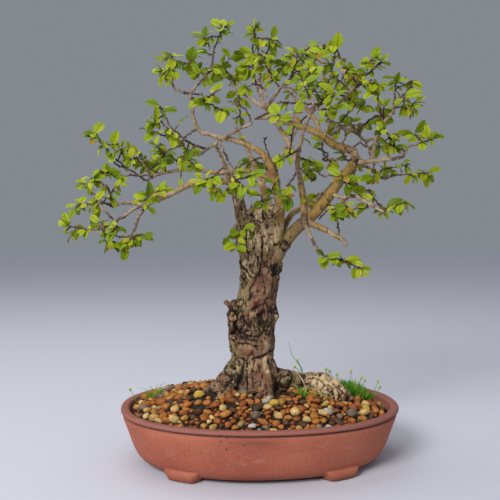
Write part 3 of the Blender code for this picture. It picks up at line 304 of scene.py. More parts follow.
# Bunches of leaves between the sprays, on the nearest twig: (across, down, leaves)
LEAF_BUNCHES = (
    (224, 21, 4), (219, 29, 3), (230, 27, 3), (205, 35, 3), (203, 41, 3), (197, 51, 3), (204, 53, 2), (195, 60, 2),
    (187, 63, 1), (196, 66, 3), (193, 74, 2), (173, 55, 2), (163, 60, 3), (156, 67, 2), (160, 77, 3), (168, 74, 3),
    (176, 71, 2), (169, 84, 2), (210, 69, 3), (219, 64, 3), (207, 81, 2), (221, 77, 2), (234, 55, 3), (240, 60, 3),
    (237, 80, 4), (230, 74, 3), (244, 84, 3), (248, 60, 3), (255, 52, 3), (262, 66, 2), (253, 35, 4), (251, 27, 4),
    (262, 42, 3), (273, 38, 4), (275, 46, 3), (263, 52, 3), (270, 57, 3), (264, 73, 2), (276, 78, 2), (273, 67, 3),
    (282, 57, 3), (289, 55, 3), (299, 57, 3), (295, 69, 2), (306, 50, 3), (315, 46, 3), (316, 62, 2), (304, 82, 2),
    (312, 75, 3), (289, 79, 3), (298, 76, 3), (332, 45, 3), (323, 53, 3), (335, 57, 3), (335, 72, 2), (323, 82, 3),
    (345, 67, 3), (331, 90, 3), (373, 61, 3), (380, 57, 2), (363, 70, 3), (361, 79, 3), (371, 83, 3), (351, 79, 3),
    (384, 83, 2), (396, 81, 3), (393, 91, 2), (417, 90, 2), (418, 98, 2), (384, 104, 2), (411, 107, 3), (382, 112, 2),
    (333, 98, 2), (331, 110, 1), (340, 103, 3), (326, 96, 2), (350, 96, 3), (365, 108, 1), (351, 120, 2),
    (371, 94, 2), (278, 115, 1), (294, 113, 2), (288, 105, 2), (287, 96, 3), (306, 99, 2), (308, 140, 1),
    (320, 142, 2), (329, 129, 2), (338, 134, 2), (320, 120, 2), (384, 132, 1), (390, 144, 1), (399, 139, 2),
    (428, 137, 2), (311, 163, 4), (309, 171, 3), (333, 167, 2), (340, 177, 1), (349, 181, 2), (356, 165, 2),
    (374, 174, 2), (380, 167, 3), (390, 170, 2), (401, 162, 2), (408, 164, 2), (416, 175, 3), (424, 174, 3),
    (395, 203, 3), (386, 211, 1), (316, 196, 2), (308, 201, 3), (332, 211, 3), (344, 206, 3), (352, 214, 1),
    (364, 209, 2), (280, 160, 2), (269, 167, 2), (276, 184, 2), (287, 196, 1), (293, 186, 2), (252, 164, 3),
    (240, 167, 3), (213, 91, 2), (203, 99, 3), (216, 99, 2), (222, 111, 1), (236, 98, 1), (168, 107, 1),
    (154, 120, 3), (155, 133, 2), (168, 129, 2), (181, 122, 1), (175, 139, 1), (160, 145, 3), (188, 150, 1),
    (182, 160, 1), (162, 165, 2), (172, 161, 2), (130, 158, 2), (138, 152, 1), (132, 147, 3), (142, 163, 2),
    (146, 168, 2), (90, 140, 2), (94, 131, 3), (102, 138, 2), (111, 144, 3), (119, 147, 3), (113, 157, 2),
    (101, 172, 1), (110, 169, 2), (116, 171, 2), (92, 179, 3), (84, 185, 2), (103, 187, 3), (116, 188, 2),
    (105, 196, 3), (114, 198, 2), (79, 204, 2), (72, 212, 1), (94, 208, 1), (64, 225, 2), (72, 234, 1), (86, 232, 2),
    (97, 225, 1), (116, 225, 1), (108, 243, 1), (125, 247, 1), (115, 235, 2), (143, 234, 1), (146, 198, 1),
    (163, 186, 1), (151, 188, 2), (151, 208, 1), (179, 181, 1), (196, 181, 3), (204, 177, 3), (215, 187, 2),
    (223, 195, 1), (231, 184, 2), (243, 187, 1), (242, 120, 4), (241, 136, 1), (216, 145, 1), (325, 258, 1),
    (333, 258, 2), (342, 257, 1), (354, 259, 2), (232, 234, 1), (234, 244, 1), (252, 233, 1), (244, 231, 3),
    (243, 66, 3), (249, 72, 3), (257, 66, 3), (268, 84, 2), (258, 60, 2), (284, 66, 3), (292, 62, 3), (279, 71, 3),
    (301, 66, 3), (309, 66, 3), (318, 72, 3), (325, 63, 3), (329, 70, 2), (317, 82, 2), (309, 88, 2), (300, 92, 2),
    (325, 90, 2), (336, 85, 2), (341, 93, 2), (355, 72, 2), (349, 101, 2), (357, 93, 2), (246, 96, 2), (241, 104, 2),
    (236, 70, 2), (323, 110, 1), (247, 88, 2),
)

# Chance and sizes of the sprays
BUNCH_SEED = 77
SPRAY_SEED = 600
LEAVES_AT_TIP = (2, 1, 1)
LEAF_LENGTH = (13.0, 16.5)
# Balls that stand for a leaf, as shares of its length: (place along it, radius)
LEAF_BALLS = ((0.2, 0.16), (0.52, 0.33), (0.84, 0.24))
# Smaller balls that fill its flat blade, as shares of its length: (place along it, place across it)
BLADE_BALLS = ((0.35, 0.0), (0.52, -0.2), (0.52, 0.0), (0.52, 0.2), (0.72, -0.14), (0.72, 0.14), (0.92, 0.0))
BLADE_BALL_RADIUS = 0.09
TWIG_BASE_RADIUS = 1.15
TWIG_TIP_RADIUS = 0.8


# Helpers


def linear(code: str) -> tuple[float, float, float, float]:
    """Turn an sRGB hex code into a linear colour.

    Args:
        code: six hex digits.

    Returns:
        Red, green, blue and a full alpha.
    """
    channels = [int(code[i:i + 2], 16) / 255 for i in (0, 2, 4)]
    made = [c / 12.92 if c <= 0.04045 else ((c + 0.055) / 1.055) ** 2.4 for c in channels]
    return (*made, 1.0)


def feed(tree: NodeTree, node: Node, inputs: dict) -> None:
    """Set or link a node's inputs.

    Args:
        tree: the node tree that has the node.
        node: the node that takes them.
        inputs: values, sockets or nodes, by the input's name or position. A node gives its first output in use.
    """
    for key, value in inputs.items():
        if isinstance(value, Node):
            value = next(socket for socket in value.outputs if socket.enabled)
        if isinstance(value, NodeSocket):
            tree.links.new(value, node.inputs[key])
        else:
            node.inputs[key].default_value = value


def add_node(tree: NodeTree, kind: str, settings: dict | None = None, **inputs) -> Node:
    """Add a node with its settings, and its inputs as values or as sockets or nodes to link.

    Args:
        tree: the node tree that takes it.
        kind: the node's type name.
        settings: properties of the node, with inputs by position under "at" and a colour ramp's
            places and hex codes under "stops".
        inputs: inputs by name, with spaces as underscores.

    Returns:
        The new node.
    """
    node = tree.nodes.new(kind)
    given: dict = {key.replace("_", " "): value for key, value in inputs.items()}
    for key, value in (settings or {}).items():
        if key == "at":
            given.update(value)
        elif key == "stops":
            ramp = node.color_ramp.elements
            while len(ramp) < len(value):
                ramp.new(1.0)
            for stop, (position, code) in zip(ramp, value):
                stop.position, stop.color = position, linear(code)
        else:
            setattr(node, key, value)
    feed(tree, node, given)
    return node


@dataclass(frozen=True)
class Viewer:
    """The place that the tree's front faces, and the photograph's middle and focal length in pixels."""

    turn: float = math.radians(-5.0)
    pitch: float = math.radians(1.7)
    eye: Vector = field(default_factory=lambda: Vector((-9.0, -665.0, 207.0)))
    middle: float = 250.0
    focal: float = 734.0

    def turned(self, point: tuple[float, ...] | Vector) -> Vector:
        """Turn a point of the viewer's frame about the upright axis into the pot's frame."""
        return Matrix.Rotation(self.turn, 3, "Z") @ Vector(point)

    def seen(self, across: float, down: float, depth: float) -> Vector:
        """Place a pixel of the photograph at a depth behind the trunk's middle.

        Args:
            across: pixels from the left.
            down: pixels from the top.
            depth: millimetres behind the trunk's middle.

        Returns:
            The point on the pixel's sight line.
        """
        reach = depth - self.eye.y
        z = self.eye.z - reach * math.tan(math.atan((down - self.middle) / self.focal) + self.pitch)
        away = reach * math.cos(self.pitch) + (self.eye.z - z) * math.sin(self.pitch)
        x = self.eye.x + (across - self.middle) / self.focal * away
        return self.turned((x, depth, z))

    def seen_route(self, route: Route) -> tuple[list[Vector], list[float]]:
        """Place a route given by pixels, depths and radii.

        Args:
            route: rows of (across, down, depth, radius).

        Returns:
            The route's points and radii.
        """
        return [self.seen(*row[:3]) for row in route], [row[3] for row in route]

    def turned_route(self, route: Route) -> tuple[list[Vector], list[float]]:
        """Turn a route of the viewer's frame into the pot's frame.

        Args:
            route: rows of (x, y, z, radius).

        Returns:
            The route's points and radii.
        """
        return [self.turned(row[:3]) for row in route], [row[3] for row in route]

    def pixel(self, point: Vector) -> tuple[float, float]:
        """Return where a point of the pot's frame shows in the photograph.

        Args:
            point: a point of the pot's frame.

        Returns:
            Pixels from the left and from the top.
        """
        local = Matrix.Rotation(-self.turn, 3, "Z") @ point
        reach = local.y - self.eye.y
        drop = self.eye.z - local.z
        away = reach * math.cos(self.pitch) + drop * math.sin(self.pitch)
        fall = drop * math.cos(self.pitch) - reach * math.sin(self.pitch)
        return (self.middle + (local.x - self.eye.x) / away * self.focal, self.middle + fall / away * self.focal)


VIEWER = Viewer()


def stand(name: str, data: bpy.types.ID) -> Object:
    """Stand a new object of this data in the scene.

    Args:
        name: the object's name.
        data: a mesh, light or camera.

    Returns:
        The new object.
    """
    made = bpy.data.objects.new(name, data)
    bpy.context.scene.collection.objects.link(made)
    return made


def stand_build(name: str, build: bmesh.types.BMesh) -> Object:
    """Stand what was built in the scene, and free the build.

    Args:
        name: the new object's name.
        build: the finished build.

    Returns:
        The new object.
    """
    mesh = bpy.data.meshes.new(name)
    build.to_mesh(mesh)
    build.free()
    return stand(name, mesh)


def make_plain(obj: Object) -> None:
    """Turn an object's mesh into the one that its modifiers make of it."""
    state = bpy.context.evaluated_depsgraph_get()
    made = bpy.data.meshes.new_from_object(obj.evaluated_get(state))
    obj.modifiers.clear()
    obj.data = made


@dataclass
class Bench:
    """Makes meshes in metres from points in the pot's frame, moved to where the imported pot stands."""

    shift: Vector

    @classmethod
    def from_pot(cls) -> Bench:
        """Return the bench for the pot as it was packed."""
        low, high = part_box("pot")
        return cls(Vector(((low.x + high.x) / 2, (low.y + high.y) / 2, 0.0)) / MM)

    def place(self, point: Vector) -> Vector:
        """Return a point of the pot's frame in metres."""
        return (Vector(point) + self.shift) * MM

    def point_of(self, vert: bpy.types.MeshVertex) -> Vector:
        """Return a mesh point's place in the pot's frame, in millimetres."""
        return vert.co / MM - self.shift

    def mesh_object(self, name: str, points: list, faces: list, outward: bool = True) -> Object:
        """Make an object from points and faces.

        Args:
            name: the object's name.
            points: points of the pot's frame, in millimetres.
            faces: rows of point numbers.
            outward: whether the faces are turned outward first.

        Returns:
            The linked object.
        """
        mesh = bpy.data.meshes.new(name)
        mesh.from_pydata([self.place(p) for p in points], [], faces)
        if outward:
            build = bmesh.new()
            build.from_mesh(mesh)
            bmesh.ops.recalc_face_normals(build, faces=build.faces)
            build.to_mesh(mesh)
            build.free()
        for face in mesh.polygons:
            face.use_smooth = True
        return stand(name, mesh)


def bridge_rings(count: int, sides: int, closed_ends: bool = True) -> Faces:
    """Return the faces between consecutive rings of points.

    Args:
        count: number of rings.
        sides: points in each ring.
        closed_ends: whether a face closes the first and the last ring.

    Returns:
        The faces, as rows of point numbers.
    """
    faces = []
    for ring, side in itertools.product(range(count - 1), range(sides)):
        a = ring * sides + side
        b = ring * sides + (side + 1) % sides
        faces.append((a, b, b + sides, a + sides))
    if closed_ends:
        faces.append(tuple(reversed(range(sides))))
        faces.append(tuple(range((count - 1) * sides, count * sides)))
    return faces


def catmull(rows: list[Vector], share: float) -> Vector:
    """Return a point of the smooth curve through rows of numbers, at a share of its length in rows.

    Args:
        rows: the curve's points, with any further numbers.
        share: 0 at the first row and 1 at the last.

    Returns:
        The row of numbers there.
    """
    last = len(rows) - 1
    at = min(max(share, 0.0), 0.999999) * last
    index = int(at)
    t = at - index
    a, b = rows[max(index - 1, 0)], rows[index]
    c, d = rows[min(index + 1, last)], rows[min(index + 2, last)]
    return 0.5 * (2 * b + (c - a) * t + (2 * a - 5 * b + 4 * c - d) * t * t + (3 * b - a - 3 * c + d) * t ** 3)


def smooth_route(places: list[Vector], radii: list[float], step: float) -> tuple[list[Vector], list[float]]:
    """Return a finer, rounded copy of a route.

    Args:
        places: the route's points.
        radii: the radius at each point.
        step: spacing of the finer points, in millimetres.

    Returns:
        The finer points and their radii.
    """
    rows = [Vector((*p, r)) for p, r in zip(places, radii)]
    length = sum((b - a).length for a, b in zip(places, places[1:]))
    count = max(2, round(length / step))
    fine = [catmull(rows, i / count) for i in range(count + 1)]
    return [row.to_3d() for row in fine], [row[3] for row in fine]


def oval_point(inset: float, degrees: float, height: float) -> Vector:
    """Return one point of the pot's oval at an inset from the rim.

    Args:
        inset: millimetres inside the rim.
        degrees: the direction from the oval's middle.
        height: the point's height.

    Returns:
        The point.
    """
    angle = math.radians(degrees)
    across, along = math.cos(angle), math.sin(angle)
    x = (POT_LENGTH / 2 - inset) * math.copysign(abs(across) ** (2 / OVAL_POWER), across)
    y = (POT_WIDTH / 2 - inset) * math.copysign(abs(along) ** (2 / OVAL_POWER), along)
    return Vector((x, y, height))


def oval_share(x: float, y: float, inset: float) -> float:
    """Return 0 at the oval's centre and 1 on the outline at this inset.

    Args:
        x: millimetres along the pot.
        y: millimetres across it.
        inset: the outline's distance inside the rim.

    Returns:
        The share of the way to the outline.
    """
    across = abs(x) / (POT_LENGTH / 2 - inset)
    along = abs(y) / (POT_WIDTH / 2 - inset)
    return (across ** OVAL_POWER + along ** OVAL_POWER) ** (1 / OVAL_POWER)


def soil_height(x: float, y: float) -> float:
    """Return the height of the mounded soil."""
    spread = oval_share(x - SOIL_CENTRE[0] * 0.5, y - SOIL_CENTRE[1] * 0.5, RIM_WIDTH)
    return SOIL_EDGE + SOIL_RISE * max(0.0, 1.0 - spread ** 2.6)


def on_mound(across: float, down: float) -> Vector:
    """Return the point of the soil that shows at a pixel of the photograph.

    Args:
        across: pixels from the left.
        down: pixels from the top.

    Returns:
        The point.
    """
    depth = -110.0
    place = VIEWER.seen(across, down, depth)
    while depth < 90.0 and place.z > soil_height(place.x, place.y):
        depth += 1.0
        place = VIEWER.seen(across, down, depth)
    return place


def set_attribute(mesh: Mesh, name: str, values: list[float]) -> None:
    """Write a number for each of the mesh's points."""
    layer = mesh.attributes.new(name, "FLOAT", "POINT")
    layer.data.foreach_set("value", values)


def settle(piece: Object, slot: str, *nodes: str) -> None:
    """Let a finished piece ride with the plant and stand for CAD nodes.

    Args:
        piece: the finished piece.
        slot: its finish; not used.
        nodes: the CAD nodes that it stands for, if any.
    """
    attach(piece, "root")
    if nodes:
        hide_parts(*nodes)
    LOG.info("%s: %d faces", piece.name, len(piece.data.polygons))


# Finishes


def start_finish(name: str, roughness: float, specular: float) -> tuple[Material, Node]:
    """Start a material with one Principled shader.

    Args:
        name: the finish's name.
        roughness: how far the surface scatters its shine.
        specular: how strongly it shines.

    Returns:
        The material and its shader.
    """
    made = bpy.data.materials.new(name)
    made.use_nodes = True
    shader = made.node_tree.nodes["Principled BSDF"]
    shader.inputs["Roughness"].default_value = roughness
    shader.inputs["Specular IOR Level"].default_value = specular
    return made, shader


@dataclass(frozen=True)
class FiredClay:
    """Unglazed clay, low fired and rich in iron: dry and matt, finely grained and specked, with painted shade and
    some dirt in the groove under the rim, and darker in a smear on the front wall and towards the foot.
    """

    pale: str = "B2674E"
    deep: str = "A05743"
    stain_and_shade: str = "3A2A24"
    rim: str = "855751"
    bloom: str = "CDA394"
    drift: float = 60.0
    grain: float = 1.6
    smear: float = 22.0
    pit_spacing: float = 4.6

    def build(self) -> Material:
        """Return the material."""
        made, shader = start_finish("terracotta", 0.78, 0.3)
        tree = made.node_tree
        add = partial(add_node, tree)
        where = add("ShaderNodeTexCoord").outputs["Object"]
        drift = add("ShaderNodeTexNoise", Vector=where, Scale=1000 / self.drift, Detail=4.0)
        grain = add("ShaderNodeTexNoise", Vector=where, Scale=1000 / self.grain, Detail=3.0)
        base = add("ShaderNodeValToRGB", {"stops": ((0.35, self.deep), (0.65, self.pale))}, Fac=drift)
        speckle = add("ShaderNodeMapRange", Value=grain, From_Min=0.3, From_Max=0.7, To_Min=0.84, To_Max=1.08)
        grained = add(
            "ShaderNodeMix", {"data_type": "RGBA", "blend_type": "MULTIPLY", "at": {0: 1.0, 6: base, 7: speckle}},
        )
        worn = add("ShaderNodeAttribute", {"attribute_name": "worn"}).outputs["Fac"]
        faded = add("ShaderNodeMapRange", Value=drift, From_Min=0.3, From_Max=0.6, To_Min=0.35, To_Max=0.8)
        fade = add("ShaderNodeMath", {"operation": "MULTIPLY", "at": {0: worn, 1: faded}})
        rimmed = add("ShaderNodeMix", {"data_type": "RGBA", "at": {0: fade, 6: grained, 7: linear(self.rim)}})
        flat = add("ShaderNodeMapping", Vector=where, Scale=(1.0, 1.0, 3.5))
        smears = add("ShaderNodeTexNoise", Vector=flat, Scale=1000 / self.smear, Detail=8.0, Roughness=0.7)
        chalk = add("ShaderNodeMapRange", Value=smears, From_Min=0.56, From_Max=0.76, To_Min=0.0, To_Max=0.26)
        chalky = add("ShaderNodeMix", {"data_type": "RGBA", "at": {0: chalk, 6: rimmed, 7: linear(self.bloom)}})
        cells = add("ShaderNodeTexVoronoi", Vector=where, Scale=1000 / self.pit_spacing)
        size = add("ShaderNodeSeparateColor", Color=cells.outputs["Color"])
        reach = add("ShaderNodeAttribute", {"attribute_name": "specked"}).outputs["Fac"]
        edge = add("ShaderNodeMath", {"operation": "MULTIPLY", "at": {0: size, 1: reach}})
        away = add("ShaderNodeMath", {"operation": "MULTIPLY", "at": {0: cells, 1: -1.0}})
        inside = add("ShaderNodeMath", {"operation": "MULTIPLY_ADD", "at": {0: edge, 1: 0.34, 2: away}})
        pits = add("ShaderNodeMapRange", Value=inside, From_Min=0.0, From_Max=0.03, To_Min=0.0, To_Max=0.75)
        # Painted shade, with some dirt, in the groove under the rim, plus a darker smear on the front wall and
        # darkening towards the foot
        grime = add("ShaderNodeAttribute", {"attribute_name": "grime"}).outputs["Fac"]
        patchy = add("ShaderNodeMapRange", Value=grain, From_Min=0.25, From_Max=0.6, To_Min=0.45, To_Max=1.0)
        broken = add("ShaderNodeMath", {"operation": "MULTIPLY", "at": {0: grime, 1: patchy}})
        specks_grime_and_shade = add("ShaderNodeMath", {"operation": "MAXIMUM", "at": {0: broken, 1: pits}})
        # The stain colour darkens the specks, which are the clay's own, and the painted groove shade
        colour = add("ShaderNodeMix", {"data_type": "RGBA", "at": {0: specks_grime_and_shade, 6: chalky, 7: linear(self.stain_and_shade)}})
        bump = add("ShaderNodeBump", Strength=0.5, Distance=0.00012, Height=grain)
        feed(tree, shader, {"Base Color": colour, "Normal": bump})
        return made


@dataclass(frozen=True)
class ElmBark:
    """Elm bark: corky plates on old wood with cracks darkened nearly to black by painted shade, smooth olive to
    pinkish beige on young.
    """

    young: tuple[tuple[float, str], ...] = (
        (0.0, "33231B"), (0.08, "4A3427"), (0.16, "7E6250"), (0.28, "AF9882"), (0.42, "9E8050"),
        (0.7, "8F7034"), (1.0, "8C6E3A"),
    )
    pale: str = "9F8063"
    mid: str = "684B3A"
    tints: tuple[tuple[str, str], ...] = (("rosy", "744B37"), ("lichen", "7E724A"), ("bleached", "D8BE96"))
    deepest_shade: str = "17110E"
    weathered: str = "CDB694"
    scale_size: float = 2.6
    thickest: float = 6.0
    old_from: float = 6.5
    old_to: float = 10.0
    patch: float = 10.0
    streak: float = 2.6
    fibre: float = 0.45
    grain: float = 1.2
    wander: float = 3.4
    wander_by: float = 3.0

    def build(self) -> Material:
        """Return the material."""
        made, shader = start_finish("elm_bark", 0.76, 0.3)
        tree = made.node_tree
        add = partial(add_node, tree)
        where = add("ShaderNodeTexCoord").outputs["Object"]
        patch = add("ShaderNodeTexNoise", Vector=where, Scale=1000 / self.patch, Detail=5.0)
        grain = add("ShaderNodeTexNoise", Vector=where, Scale=1000 / self.grain, Detail=3.0, Roughness=0.6)
        girth = add("ShaderNodeAttribute", {"attribute_name": "thickness"}).outputs["Fac"]
        colour = self.by_age(tree, patch, girth)
        for attribute, tint in self.tints:
            share = add("ShaderNodeAttribute", {"attribute_name": attribute}).outputs["Fac"]
            uneven = add("ShaderNodeMapRange", Value=patch, From_Min=0.35, From_Max=0.6, To_Min=0.35, To_Max=0.95)
            spread = add("ShaderNodeMath", {"operation": "MULTIPLY", "at": {0: share, 1: uneven}})
            colour = add("ShaderNodeMix", {"data_type": "RGBA", "at": {0: spread, 6: colour, 7: linear(tint)}})
        dead = add("ShaderNodeAttribute", {"attribute_name": "tone"}).outputs["Fac"]
        dry = add("ShaderNodeMapRange", Value=dead, From_Min=0.8, From_Max=1.0, To_Min=0.0, To_Max=0.9)
        colour = add("ShaderNodeMix", {"data_type": "RGBA", "at": {0: dry, 6: colour, 7: linear(self.weathered)}})
        # Painted shade in the trunk's cracks, seams, creases and recesses, with its darker patches
        hollow = add("ShaderNodeAttribute", {"attribute_name": "hollow"}).outputs["Fac"]
        upright = add("ShaderNodeMapping", Vector=where, Scale=(1.0, 1.0, self.fibre))
        wander = add("ShaderNodeTexNoise", Vector=where, Scale=1000 / self.wander, Detail=3.0)
        wandering = add(
            "ShaderNodeVectorMath",
            {
                "operation": "MULTIPLY_ADD",
                "at": {0: wander.outputs["Color"], 1: (self.wander_by * MM,) * 3, 2: upright},
            },
        )
        scales = add(
            "ShaderNodeTexVoronoi", {"feature": "DISTANCE_TO_EDGE"}, Vector=wandering, Scale=1000 / self.scale_size,
        )
        # Dark lines between the scales: painted shade in the gaps between the bark plates
        edges = add("ShaderNodeMapRange", Value=scales, From_Min=0.01, From_Max=0.1, To_Min=0.44, To_Max=0.0)
        scaly = add("ShaderNodeAttribute", {"attribute_name": "scaly"}).outputs["Fac"]
        lines = add("ShaderNodeMath", {"operation": "MULTIPLY_ADD", "at": {0: edges, 1: scaly, 2: hollow}})
        streaks = add("ShaderNodeTexNoise", Vector=upright, Scale=1000 / self.streak, Detail=6.0, Roughness=0.65)
        rough = add("ShaderNodeMath", {"operation": "MULTIPLY_ADD", "at": {0: streaks, 1: 2.7, 2: -1.22}})
        depth = add("ShaderNodeMath", {"operation": "ADD", "at": {0: lines, 1: rough}})
        # Multiplies the colour by the fibre streaks and the painted shade; its darkest stop is the painted shade deep
        # in the cracks
        shade = add(
            "ShaderNodeValToRGB",
            {"stops": ((0.0, "FFFFFF"), (0.3, "E8E4DE"), (0.52, "8F857C"), (0.8, "3F3731"), (1.0, self.deepest_shade))},
            Fac=depth,
        )
        shaded = add(
            "ShaderNodeMix", {"data_type": "RGBA", "blend_type": "MULTIPLY", "at": {0: 1.0, 6: colour, 7: shade}},
        )
        coarse = add("ShaderNodeBump", Strength=0.9, Distance=0.0011, Height=streaks)
        bump = add("ShaderNodeBump", Strength=0.6, Distance=0.0003, Height=grain, Normal=coarse)
        feed(tree, shader, {"Base Color": shaded, "Normal": bump})
        return made

    def by_age(
        self, tree: NodeTree, patch: Node, girth: NodeSocket
    ) -> Node:
        """Colour the bark by the wood's thickness.

        Args:
            tree: the material's node tree.
            patch: a broad noise.
            girth: the wood's radius in metres.

        Returns:
            The node that gives the colour.
        """
        add = partial(add_node, tree)
        share = add(
            "ShaderNodeMapRange", Value=girth, From_Min=0.0, From_Max=self.thickest * MM, To_Min=0.0, To_Max=1.0,
        )
        drift = add("ShaderNodeMath", {"operation": "MULTIPLY_ADD", "at": {0: patch, 1: 0.7, 2: -0.36}})
        age = add("ShaderNodeMath", {"operation": "ADD", "at": {0: share, 1: drift}})
        young = add("ShaderNodeValToRGB", {"stops": self.young}, Fac=age)
        old = add("ShaderNodeValToRGB", {"stops": ((0.36, self.mid), (0.62, self.pale))}, Fac=patch)
        is_old = add(
            "ShaderNodeMapRange", Value=girth, From_Min=self.old_from * MM, From_Max=self.old_to * MM, To_Min=0.0,
            To_Max=1.0,
        )
        both = add("ShaderNodeMix", {"data_type": "RGBA", "at": {0: is_old, 6: young, 7: old}})
        return both


@dataclass(frozen=True)
class Foliage:
    """A living leaf: waxy above, and thin enough that the light behind it shows through as yellow-green."""

    name: str
    stops: tuple[tuple[float, str], ...]
    glow: str
    through: float
    roughness: float
    vein_pairs: float
    vein: str = "8FA05A"

    def build(self) -> Material:
        """Return the material."""
        made, shader = start_finish(self.name, self.roughness, 0.3)
        tree = made.node_tree
        add = partial(add_node, tree)
        tone = add("ShaderNodeAttribute", {"attribute_name": "tone"}).outputs["Fac"]
        base = add("ShaderNodeValToRGB", {"stops": self.stops}, Fac=tone)
        colour = base
        if self.vein_pairs:
            veins = self.veins(tree)
            pale = add("ShaderNodeMath", {"operation": "MULTIPLY", "at": {0: veins, 1: 0.5}})
            colour = add(
                "ShaderNodeMix",
                {"data_type": "RGBA", "blend_type": "MULTIPLY", "at": {0: pale, 6: colour, 7: linear(self.vein)}},
            )
            pleats = add("ShaderNodeBump", {"invert": True}, Strength=0.8, Distance=0.0006, Height=veins)
            feed(tree, shader, {"Normal": pleats})
        feed(tree, shader, {"Base Color": colour})
        if self.through:
            lit = add("ShaderNodeMix", {"data_type": "RGBA", "at": {0: 0.45, 6: colour, 7: linear(self.glow)}})
            back = add("ShaderNodeBsdfTranslucent", Color=lit)
            both = add("ShaderNodeMixShader", {"at": {0: self.through, 1: shader, 2: back}})
            feed(tree, tree.nodes["Material Output"], {"Surface": both})
        return made

    def veins(self, tree: NodeTree) -> Node:
        """Draw the midrib and the slanting side veins from the leaf's own map.

        Args:
            tree: the material's node tree.

        Returns:
            A node that gives 1 on a vein and 0 between.
        """
        add = partial(add_node, tree)
        split = add("ShaderNodeSeparateXYZ", Vector=add("ShaderNodeTexCoord").outputs["UV"])
        side = add("ShaderNodeMath", {"operation": "SUBTRACT", "at": {0: split, 1: 0.5}})
        away = add("ShaderNodeMath", {"operation": "ABSOLUTE", "at": {0: side}})
        slant = add("ShaderNodeMath", {"operation": "MULTIPLY_ADD", "at": {0: away, 1: -0.55, 2: split.outputs["Y"]}})
        count = add("ShaderNodeMath", {"operation": "MULTIPLY", "at": {0: slant, 1: self.vein_pairs}})
        wave = add("ShaderNodeMath", {"operation": "PINGPONG", "at": {0: count, 1: 0.5}})
        sides = add("ShaderNodeMapRange", Value=wave, From_Min=0.0, From_Max=0.14, To_Min=0.8, To_Max=0.0)
        middle = add("ShaderNodeMapRange", Value=away, From_Min=0.01, From_Max=0.05, To_Min=1.0, To_Max=0.0)
        both = add("ShaderNodeMath", {"operation": "MAXIMUM", "at": {0: sides, 1: middle}})
        return both


@dataclass(frozen=True)
class WornStone:
    """Water-worn quartz and ironstone: smooth with a slight shine, each pebble of its own colour."""

    name: str = "pea_gravel"
    stops: tuple[tuple[float, str], ...] = (
        (0.0, "342720"), (0.08, "5A3A22"), (0.2, "8C4A1E"), (0.35, "AA6226"), (0.5, "B07430"),
        (0.62, "B68A44"), (0.72, "D6B478"), (0.8, "C29E3C"), (0.88, "7E6852"), (0.95, "665C52"), (1.0, "B4ACA0"),
    )
    patch: float = 5.0
    grain: float = 1.2
    spot: str = "5A3A26"

    def build(self) -> Material:
        """Return the material."""
        made, shader = start_finish(self.name, 0.6, 0.35)
        tree = made.node_tree
        add = partial(add_node, tree)
        where = add("ShaderNodeTexCoord").outputs["Object"]
        tone = add("ShaderNodeAttribute", {"attribute_name": "tone"}).outputs["Fac"]
        base = add("ShaderNodeValToRGB", {"stops": self.stops}, Fac=tone)
        patch = add("ShaderNodeTexNoise", Vector=where, Scale=1000 / self.patch, Detail=5.0)
        grain = add("ShaderNodeTexNoise", Vector=where, Scale=1000 / self.grain, Detail=3.0)
        cloud = add("ShaderNodeMapRange", Value=patch, From_Min=0.3, From_Max=0.7, To_Min=0.62, To_Max=1.15)
        clouded = add(
            "ShaderNodeMix", {"data_type": "RGBA", "blend_type": "MULTIPLY", "at": {0: 1.0, 6: base, 7: cloud}},
        )
        spots = add("ShaderNodeMapRange", Value=grain, From_Min=0.58, From_Max=0.72, To_Min=0.0, To_Max=0.5)
        colour = add("ShaderNodeMix", {"data_type": "RGBA", "at": {0: spots, 6: clouded, 7: linear(self.spot)}})
        bump = add("ShaderNodeBump", Strength=0.9, Distance=0.0005, Height=grain)
        feed(tree, shader, {"Base Color": colour, "Normal": bump})
        return made


@dataclass(frozen=True)
class DampSoil:
    """Dark potting soil, damp and crumbly, with lighter crumbs."""

    dark: str = "1C1511"
    crumb: str = "4A3728"
    size: float = 3.0

    def build(self) -> Material:
        """Return the material."""
        made, shader = start_finish("damp_soil", 0.9, 0.25)
        tree = made.node_tree
        add = partial(add_node, tree)
        where = add("ShaderNodeTexCoord").outputs["Object"]
        crumbs = add("ShaderNodeTexNoise", Vector=where, Scale=1000 / self.size, Detail=6.0, Roughness=0.7)
        base = add("ShaderNodeValToRGB", {"stops": ((0.42, self.dark), (0.7, self.crumb))}, Fac=crumbs)
        bump = add("ShaderNodeBump", Strength=0.9, Distance=0.0012, Height=crumbs)
        feed(tree, shader, {"Base Color": base, "Normal": bump})
        return made


ELM_LEAF = Foliage(
    "elm_leaf",
    (
        (0.0, "5A740E"), (0.2, "88A018"), (0.45, "ACBE20"), (0.7, "C0CC28"), (0.85, "CFD63C"),
        (0.93, "CBA240"), (1.0, "A86E38"),
    ),
    glow="CFE028",
    through=0.4,
    roughness=0.5,
    vein_pairs=7.0,
)
PEARLWORT = Foliage(
    "pearlwort",
    ((0.0, "2E6A12"), (0.5, "4E9A1E"), (0.85, "8CC03A"), (1.0, "C2C264")),
    glow="9CD040",
    through=0.2,
    roughness=0.55,
    vein_pairs=0.0,
)


# Growth: paths with a skin, and shapes on places


